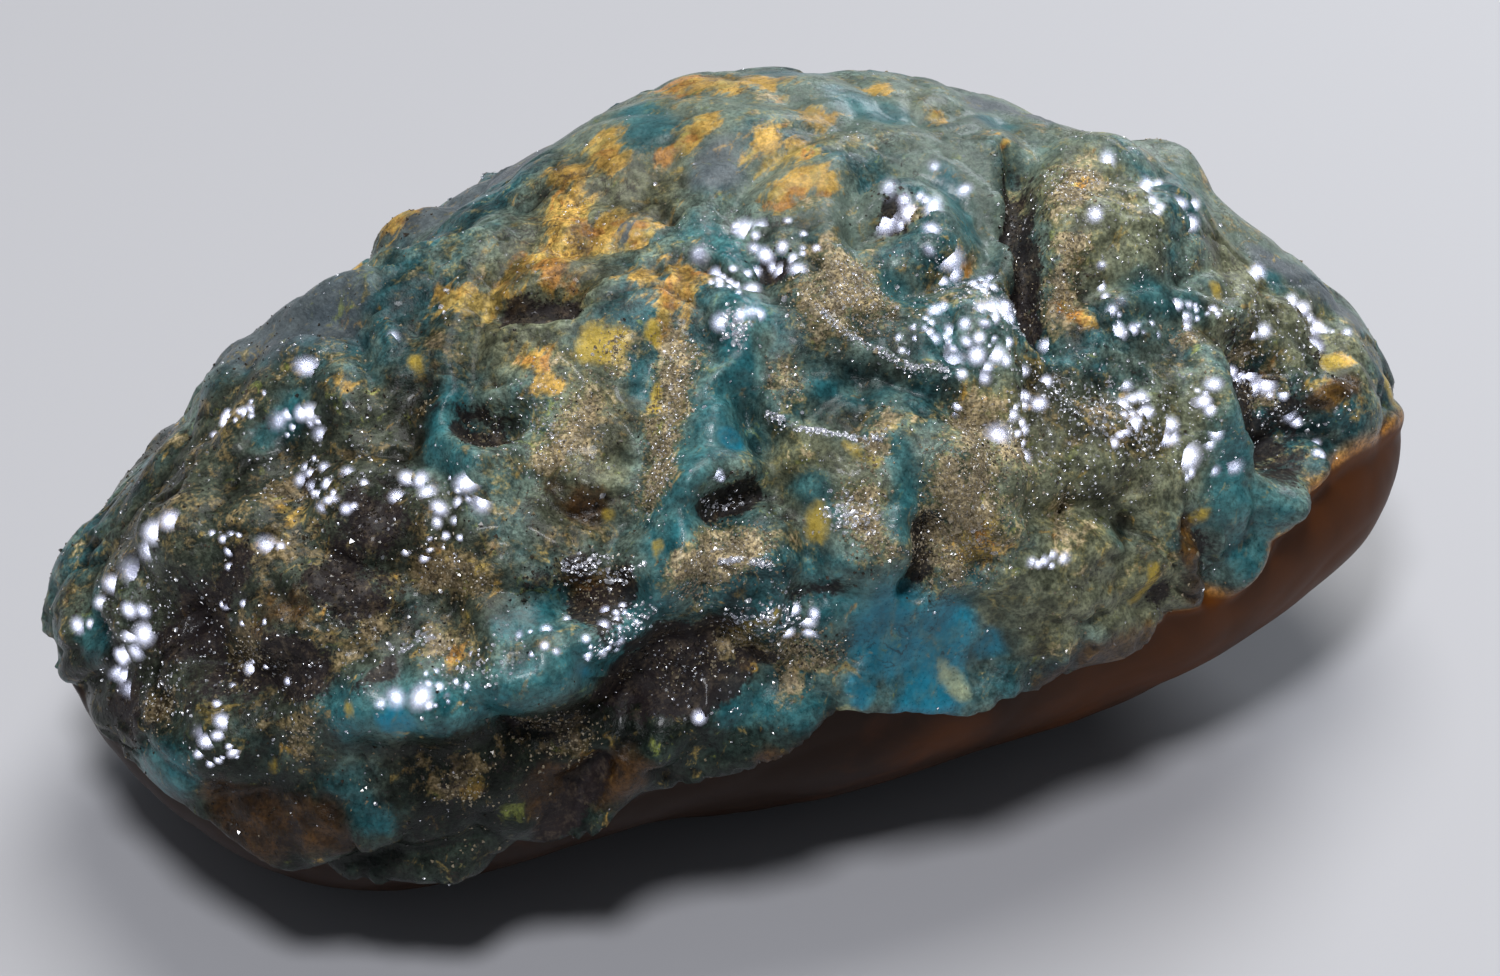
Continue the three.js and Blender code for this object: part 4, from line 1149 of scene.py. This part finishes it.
def nugget_material(look):
    """Wet amber: see-through resin under a film of teal, grey-green, ochre and sandy matrix, with
    black-brown pits that are partly painted shade. The film is rock where it is thick, clearer
    resin where it is bare, and ends where the amber underside begins."""
    s = Shader("wet_amber")
    n = nugget_noises(s, s.place())
    marks = {name: s.attribute(name) for name in MARKS}
    crust, teal, blue, sand = marks["crust"], marks["teal"], marks["blue"], marks["sand"]
    level = dust_level(marks, n)
    sandy = level.above(0.6, 0.78)
    dark_share = soot_and_shade_share(marks, n, level)
    resinous = torn(n, marks["amber"], 0.9, 0.3, 0.85)
    film = film_colour(s, look, marks, n, level, sandy, resinous)
    char = s.blend((n.fine * 0.6 + n.speck * 0.4).above(0.47, 0.66), look.soot_and_shade, look.char)
    # Black-brown over the dark share: patches and flecks, with painted shade in pits and along
    # seams.
    skin_colour = s.blend(dark_share * 0.92, film, char)

    buried = 1 - crust.above(0.3, 0.7)
    clear = torn(n, blue, 0.3, 0.4, 0.8) * 0.6
    clear = clear.most(torn(n, teal, 0.4, 0.4, 0.8) * 0.35).most(resinous * 0.5)
    clear = clear * (1 - sandy)
    rugged = crust * (1 - 0.7 * teal) * (1 - 0.9 * blue) * (marks["soot_and_shade"] + 1)
    normal = s.bump(n.fine * rugged, look.bump_height)
    crumbs = (n.speck + 0.5 * n.grain_tone) * (sand * 0.75 + 0.25) * (crust * 0.9 + 0.1)
    normal = s.bump(crumbs, look.crumb_height, normal)
    gloss = (n.speck * 0.2 + 0.2 + sandy * 0.2 + dark_share * 0.25) * (1 - 0.4 * marks["wet"])
    resin = s.principled({
        "Base Color": skin_colour, "Roughness": gloss, "IOR": RESIN_INDEX,
        "Specular IOR Level": 0.3, "Transmission Weight": look.clearness, "Coat Weight": 0.06,
        "Coat Roughness": 0.08, "Normal": normal,
    })
    rock = s.principled({
        "Base Color": skin_colour, "Roughness": gloss, "IOR": RESIN_INDEX,
        "Specular IOR Level": 0.16, "Coat Weight": 0.08, "Coat Roughness": 0.1, "Normal": normal,
    })
    belly = s.principled({
        "Base Color": underside_colour(s, look, marks, n), "Roughness": 0.4, "IOR": RESIN_INDEX,
        "Specular IOR Level": 0.012, "Transmission Weight": look.belly_clearness,
        "Normal": normal,
    })
    surface = s.mix_surfaces(buried, s.mix_surfaces(clear, rock, resin), belly)
    volume = s.node("ShaderNodeVolumeAbsorption", None,
                    {"Color": look.depth_colour, "Density": look.depth_density})
    return s.finish(Surface=surface, Volume=volume)


def grain_material(name, dark, light, roughness):
    """Quartz and rock grains: each grain takes its own tone between two colours."""
    s = Shader(name)
    tone = s.attribute("tone")
    mottle = s.noise(s.place(), 0.25, 2.0)
    shade = s.blend(tone * 0.7 + (mottle - 0.5) * 0.5, dark, light)
    return s.finish(Surface=s.principled({
        "Base Color": shade, "Roughness": roughness, "IOR": RESIN_INDEX, "Coat Weight": 0.25,
        "Coat Roughness": 0.12,
    }))


def drop_material(look):
    """Clear drops: the crust shows through, they thin out to nothing at their rims, and only the
    gloss of their tops is seen."""
    s = Shader("wet_drop")
    tone = s.attribute("tone")
    return s.finish(Surface=s.principled({
        "Base Color": s.blend(tone, look.drop_dark, look.drop_light),
        "Roughness": tone * 0.1 + 0.12, "IOR": DROP_INDEX, "Transmission Weight": 0.85,
        "Specular Tint": (0.66, 0.7, 1.0), "Coat Weight": 0.4, "Coat Roughness": 0.12,
        "Alpha": s.attribute("brim") * (tone * 0.4 + 0.5),
    }))


def speck_material(look):
    """Tiny mica-like plates, from faint to bright."""
    s = Shader("bright_speck")
    tone = s.attribute("tone")
    return s.finish(Surface=s.principled({
        "Base Color": s.blend(tone, look.drop_dark, look.drop_light),
        "Roughness": 0.35 - tone * 0.2, "IOR": DROP_INDEX, "Transmission Weight": 0.7,
        "Coat Weight": 0.4, "Coat Roughness": 0.1, "Alpha": tone * 0.75 + 0.15,
    }))


# ---------------------------------------------------------------------------------------------
# Settings
# ---------------------------------------------------------------------------------------------

def tint(name, description, default):
    """A colour setting."""
    return FloatVectorProperty(name=name, description=description, default=default,
                               subtype="COLOR", size=3, min=0, max=1)


def amount(name, description, default, low=0.0, high=1.0, **kind):
    """A number setting between two limits."""
    return FloatProperty(name=name, description=description, default=default, min=low, max=high,
                         **kind)


def count(name, description, default, low, high):
    """A whole number setting between two limits."""
    return IntProperty(name=name, description=description, default=default, min=low, max=high)


def spot(name, description, default):
    """A setting for a point, in metres."""
    return FloatVectorProperty(name=name, description=description, default=default,
                               subtype="TRANSLATION", unit="LENGTH")


class NuggetSettings(PropertyGroup):
    """Sizes and colours of the nugget's skin."""

    rings: count("Rings", "Rings of points from tip to tip", 268, 40, 268)
    columns: count("Columns", "Points round each ring", 372, 60, 372)
    detail: amount("Fine relief", "Strength of the crust's fine relief", 1.0, high=2,
                   subtype="FACTOR")
    bump_height: amount("Bump height", "Millimetres of relief too fine for the mesh", 0.12)
    crumb_height: amount("Crumb height", "Millimetres of the finest relief", 0.06)
    clearness: amount("Clearness", "Share of light that goes through bare resin", 0.35,
                      subtype="FACTOR")
    belly_clearness: amount("Underside clearness", "Share of light that goes through the underside",
                            0.2, subtype="FACTOR")
    depth_density: amount("Depth density", "How fast the resin takes up light, per metre", 260.0,
                          high=10000)
    depth_colour: tint("Depth colour", "Colour of light that has gone through the resin",
                       (0.75, 0.36, 0.1))
    deep_teal: tint("Deep teal", "Dark green-blue of most of the film", (0.028, 0.09, 0.108))
    teal: tint("Teal", "Bare teal resin on ridges and rims", (0.02, 0.14, 0.175))
    pale_teal: tint("Pale teal", "Lighter streaks in the teal", (0.1, 0.24, 0.25))
    blue: tint("Blue", "The bluest resin", (0.02, 0.25, 0.38))
    inclusion: tint("Inclusions", "Pale cracks inside the blue resin", (0.5, 0.54, 0.32))
    olive: tint("Olive", "Green-brown film", (0.17, 0.16, 0.07))
    grey_green: tint("Grey green", "Film that is thick with dust", (0.115, 0.165, 0.15))
    bloom: tint("Bloom", "Pale green-grey film along the crown", (0.165, 0.21, 0.175))
    khaki: tint("Khaki", "Milky grey-brown film", (0.165, 0.165, 0.1))
    # Dark grey-brown film, partly painted shade that darkens the left end.
    umber_and_shade: tint("Umber", "Dark grey-brown film of the left end", (0.04, 0.042, 0.027))
    brown: tint("Brown", "Earthy film of the left end", (0.12, 0.085, 0.045))
    # Painted sheen: colour of a lilac-grey reflection.
    painted_sheen: tint("Haze", "Milky lilac-grey film", (0.1, 0.115, 0.135))
    amber_film: tint("Amber film", "Dark orange-brown resin in the crust", (0.07, 0.03, 0.006))
    # Painted shade: near-black for the low parts of the crust.
    painted_low_shade: tint("Moss", "Near-black green low on the left", (0.012, 0.018, 0.013))
    gold: tint("Gold", "Olive-gold film", (0.39, 0.285, 0.085))
    ochre: tint("Ochre", "Iron-stained film", (0.52, 0.32, 0.075))
    rust: tint("Rust", "Redder iron stain", (0.4, 0.18, 0.04))
    yellow: tint("Yellow", "Sulphur-yellow patches", (0.52, 0.37, 0.05))
    yellow_green: tint("Yellow green", "Greener specks in the film", (0.24, 0.28, 0.06))
    matrix: tint("Matrix", "Sandy matrix", (0.38, 0.31, 0.2))
    matrix_dark: tint("Dark matrix", "Shaded and rusty matrix", (0.13, 0.09, 0.045))
    pale_grain: tint("Pale grain", "Quartz grains in the matrix", (0.6, 0.53, 0.4))
    # These two colours fill the black-brown patches and flecks, and the painted shade in pits,
    # clefts and seams.
    char: tint("Char", "Paler brown crumbs in the dark places", (0.085, 0.062, 0.045))
    soot_and_shade: tint("Soot", "Black-brown organic specks and pits", (0.018, 0.012, 0.013))
    # Painted glow: colour of light through thin resin below the crust.
    amber_glow: tint("Amber glow", "Thin, lit resin below the crust", (0.21, 0.063, 0.009))
    amber_brown: tint("Amber brown", "Bare resin of the underside", (0.08, 0.0225, 0.0045))
    amber_dark: tint("Dark amber", "Darker clouds in the underside", (0.025, 0.01, 0.004))


class SandSettings(PropertyGroup):
    """Grains, drops and specks that stand proud of the crust."""

    sand_count: count("Sand grains", "Pale grains in the matrix", 24000, 100, 24900)
    grit_count: count("Dark grains", "Dark grains in pits and between lumps", 7000, 100, 24900)
    speck_count: count("Specks", "Bright plates over the whole crust", 7000, 100, 10000)
    sand_size: amount("Sand size", "Typical width of a grain in millimetres", 0.125, low=0.1)
    speck_size: amount("Speck size", "Typical width of a bright plate in millimetres", 0.06,
                       low=0.03)
    drop_scale: amount("Drop scale", "Multiplies the width of every drop", 1.35, low=0.2, high=3)
    drop_jitter: amount("Drop jitter", "How unlike the drops' leans are", 0.025)
    speck_jitter: amount("Speck jitter", "How unlike the specks' leans are", 0.09)
    sand_dark: tint("Sand, dark", "Darkest pale grain", (0.16, 0.13, 0.08))
    sand_light: tint("Sand, light", "Lightest pale grain", (0.42, 0.35, 0.24))
    grit_dark: tint("Grit, dark", "Darkest dark grain", (0.01, 0.009, 0.009))
    grit_light: tint("Grit, light", "Lightest dark grain", (0.08, 0.062, 0.04))
    drop_dark: tint("Drop, dark", "Darkest drop", (0.6, 0.64, 0.75))
    drop_light: tint("Drop, light", "Lightest drop", (0.85, 0.85, 0.95))


class StageSettings(PropertyGroup):
    """The plain studio."""

    floor: tint("Floor", "Colour of the floor", (0.5, 0.5, 0.52))
    distance: amount("Camera distance", "From the camera to the point that it looks at", 0.188,
                     low=0.05, high=2, unit="LENGTH")
    azimuth: amount("Camera azimuth", "Angle round the nugget, 0 looks along +Y",
                    math.radians(-13.4), low=-math.pi, high=math.pi, subtype="ANGLE")
    elevation: amount("Camera elevation", "Angle above the floor", math.radians(38.0), low=0.0,
                      high=math.pi / 2, subtype="ANGLE")
    aim: spot("Aim", "Point that the camera looks at", (0.0009, -0.0007, 0.0108))
    lens: amount("Lens", "Focal length in millimetres", 100.0, low=10, high=300)
    glint_place: spot("Glint light place", "Where the small soft light hangs",
                      (-0.06, -0.16, 0.36))
    key_power: amount("Key light", "Power of the large soft light in watts", 0.95, high=10)
    glint_power: amount("Glint light", "Power of the small soft light in watts", 0.85, high=10)
    rim_power: amount("Rim light", "Power of the light behind in watts", 0.4, high=10)
    room: amount("Room light", "Strength of the even light", 0.12, high=10)


class AmberSettings(PropertyGroup):
    """All settings of the scene."""

    nugget: PointerProperty(type=NuggetSettings)
    sand: PointerProperty(type=SandSettings)
    stage: PointerProperty(type=StageSettings)


# ---------------------------------------------------------------------------------------------
# Operators
# ---------------------------------------------------------------------------------------------

def dress(piece, material):
    """Gives a piece its material and its body."""
    piece.data.materials.append(material)
    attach(piece, "root")


def new_piece(name, arrays, smooth, material):
    """A dressed piece from its points in millimetres, its faces and its vertex attributes."""
    points, faces, marks = arrays
    piece = new_mesh(name, points * MM, faces, smooth)
    for mark, values in marks.items():
        add_attribute(piece, mark, values)
    dress(piece, material)
    return piece


class AMBER_OT_nugget(Operator):
    """Build the nugget: one closed skin of resin and crust"""

    bl_idname = "amber.build_nugget"
    bl_label = "Build nugget"

    def execute(self, context):
        look = context.scene.amber.nugget
        arrays = nugget_arrays(look.rings, look.columns, look.detail)
        nugget = new_piece("nugget_skin", arrays, True, nugget_material(look))
        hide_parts("amber_nugget")
        return {"FINISHED"}


def skin_arrays():
    """The points in millimetres, faces and marks of the skin, which has to be built already."""
    built = bpy.data.objects.get("nugget_skin")
    if built is None:
        raise RuntimeError("Build the nugget first")
    mesh = built.data
    points = np.empty(len(mesh.vertices) * 3, np.float32)
    mesh.vertices.foreach_get("co", points)
    faces = np.empty(len(mesh.polygons) * 3, np.int32)
    mesh.loops.foreach_get("vertex_index", faces)
    marks = {}
    for mark in MARKS:
        marks[mark] = np.empty(len(mesh.vertices), np.float32)
        mesh.attributes[mark].data.foreach_get("value", marks[mark])
    return points.reshape(-1, 3).astype(float) / MM, faces.reshape(-1, 3), marks


class AMBER_OT_sand(Operator):
    """Sow the grains over the crust's sandy and sooty patches"""

    bl_idname = "amber.sow_sand"
    bl_label = "Sow sand"

    def execute(self, context):
        look = context.scene.amber.sand
        points, faces, marks = skin_arrays()
        bare = np.clip(1 - 1.1 * np.maximum(marks["teal"], marks["blue"]), 0, 1)
        drift = smooth_step(rough(points, 1.8, 3, 140), 0.1, 0.4)
        crusty = (marks["crust"] > 0.9) * bare
        calm = (1 - marks["bloom"]) * (1 - marks["painted_sheen"])
        pale = crusty * (marks["sand"] ** 1.5 + 0.03 * drift * calm) * (1 - 0.6 * marks["umber_and_shade"])
        dark = crusty * (marks["soot_and_shade"] + 0.03 * marks["sand"] + 0.15 * marks["umber_and_shade"])
        kinds = (
            ("sand_grains", pale, look.sand_count, SAND_SEED,
             grain_material("sand_quartz", look.sand_dark, look.sand_light, 0.2)),
            ("dark_grit", dark, look.grit_count, GRIT_SEED,
             grain_material("sooty_grit", look.grit_dark, look.grit_light, 0.15)),
        )
        for name, weight, number, seed, material in kinds:
            grains = grain_arrays(points, faces, weight, number, look.sand_size, seed)
            new_piece(name, grains, False, material)
        return {"FINISHED"}


def camera_place(look):
    """The camera's location in metres, from its aim, angles and distance."""
    level = math.cos(look.elevation) * look.distance
    return Vector(look.aim) + Vector((math.sin(look.azimuth) * level,
                                      -math.cos(look.azimuth) * level,
                                      math.sin(look.elevation) * look.distance))


class AMBER_OT_drops(Operator):
    """Lay the wet drops in rows and heaps, and strew bright specks over the crust"""

    bl_idname = "amber.lay_drops"
    bl_label = "Lay drops"

    def execute(self, context):
        look = context.scene.amber.sand
        stage = context.scene.amber.stage
        camera = np.array(camera_place(stage)) / MM
        lamp = np.array(stage.glint_place) / MM
        drops = drop_arrays(camera, lamp, look.drop_jitter, look.drop_scale, DROP_SEED)
        new_piece("wet_drops", drops, False, drop_material(look))

        points, faces, marks = skin_arrays()
        clusters = smooth_step(rough(points, 2.2, 4, 150), 0.1, 0.5)
        weight = (marks["crust"] > 0.8) * (
            0.03 + 0.5 * clusters + marks["sand"] + 1.2 * marks["wet"])
        quiet = marks["painted_low_shade"] + marks["soot_and_shade"] + marks["bloom"] + marks["painted_sheen"] + 0.6 * marks["teal"]
        weight = weight * (1 - 0.85 * np.clip(quiet, 0, 1)) * (1 - 0.4 * marks["umber_and_shade"])
        plates = speck_arrays(points, faces, weight, look.speck_count, look.speck_size,
                              camera, lamp, look.speck_jitter, SPECK_SEED)
        new_piece("bright_specks", plates, False, speck_material(look))
        return {"FINISHED"}


# The stage, in metres: the point that the lights look at, and half the side of the floor.
NUGGET_MIDDLE = (0, 0, 0.012)
FLOOR_REACH = 1.5


def aim(thing, target):
    """Turns a camera or a light so that it looks at a point."""
    thing.rotation_euler = (Vector(target) - thing.location).to_track_quat("-Z", "Y").to_euler()


def soft_light(name, location, size, power, tone):
    """A round soft light that looks at the nugget's middle."""
    lamp = bpy.data.lights.new(name, "AREA")
    lamp.shape = "DISK"
    lamp.size = size
    lamp.energy = power
    lamp.color = tone
    made = bpy.data.objects.new(name, lamp)
    made.location = location
    bpy.context.collection.objects.link(made)
    aim(made, NUGGET_MIDDLE)


class AMBER_OT_stage(Operator):
    """Set up the floor, the lights and the camera"""

    bl_idname = "amber.set_stage"
    bl_label = "Set stage"

    def execute(self, context):
        look = context.scene.amber.stage
        corners = FLOOR_REACH * np.array([(-1, -1, 0), (1, -1, 0), (1, 1, 0), (-1, 1, 0)])
        floor = new_mesh("floor", corners, np.array([(0, 1, 2, 3)]), False)
        s = Shader("pale_floor")
        floor.data.materials.append(s.finish(Surface=s.principled({
            "Base Color": look.floor, "Roughness": 0.6})))

        soft_light("key", (0.06, 0.1, 0.38), 0.24, look.key_power, (1.0, 0.99, 0.97))
        soft_light("glint", look.glint_place, 0.08, look.glint_power, (0.94, 0.95, 1.0))
        soft_light("rim", (0.2, 0.26, 0.16), 0.14, look.rim_power, (0.88, 0.93, 1.0))
        world = bpy.data.worlds.new("room")
        world.use_nodes = True
        backdrop = world.node_tree.nodes["Background"]
        backdrop.inputs["Color"].default_value = (0.8, 0.86, 0.95, 1)
        backdrop.inputs["Strength"].default_value = look.room
        context.scene.world = world
        context.scene.view_settings.view_transform = "Standard"

        lens = bpy.data.cameras.new("camera")
        lens.lens = look.lens
        lens.sensor_width = 36.0
        lens.clip_start = 0.005
        camera = bpy.data.objects.new("camera", lens)
        camera.location = camera_place(look)
        context.collection.objects.link(camera)
        aim(camera, look.aim)
        context.scene.camera = camera
        return {"FINISHED"}


class AMBER_PT_panel(Panel):
    """Sidebar panel that lists the steps and their settings"""

    bl_idname = "AMBER_PT_panel"
    bl_label = "Rough blue amber"
    bl_space_type = "VIEW_3D"
    bl_region_type = "UI"
    bl_category = "Amber"

    def draw(self, context):
        settings = context.scene.amber
        steps = (((AMBER_OT_nugget,), settings.nugget),
                 ((AMBER_OT_sand, AMBER_OT_drops), settings.sand),
                 ((AMBER_OT_stage,), settings.stage))
        for operators, group in steps:
            box = self.layout.box()
            for operator in operators:
                box.operator(operator.bl_idname)
            for name in group.__annotations__:
                box.prop(group, name)


CLASSES = (NuggetSettings, SandSettings, StageSettings, AmberSettings, AMBER_OT_nugget,
           AMBER_OT_sand, AMBER_OT_drops, AMBER_OT_stage, AMBER_PT_panel)


def register():
    for item in CLASSES:
        bpy.utils.register_class(item)
    bpy.types.Scene.amber = PointerProperty(type=AmberSettings)


def unregister():
    del bpy.types.Scene.amber
    for item in reversed(CLASSES):
        bpy.utils.unregister_class(item)


def main():
    register()
    bpy.ops.amber.build_nugget()
    bpy.ops.amber.sow_sand()
    bpy.ops.amber.lay_drops()
    bpy.ops.amber.set_stage()


if __name__ == "__main__":
    main()
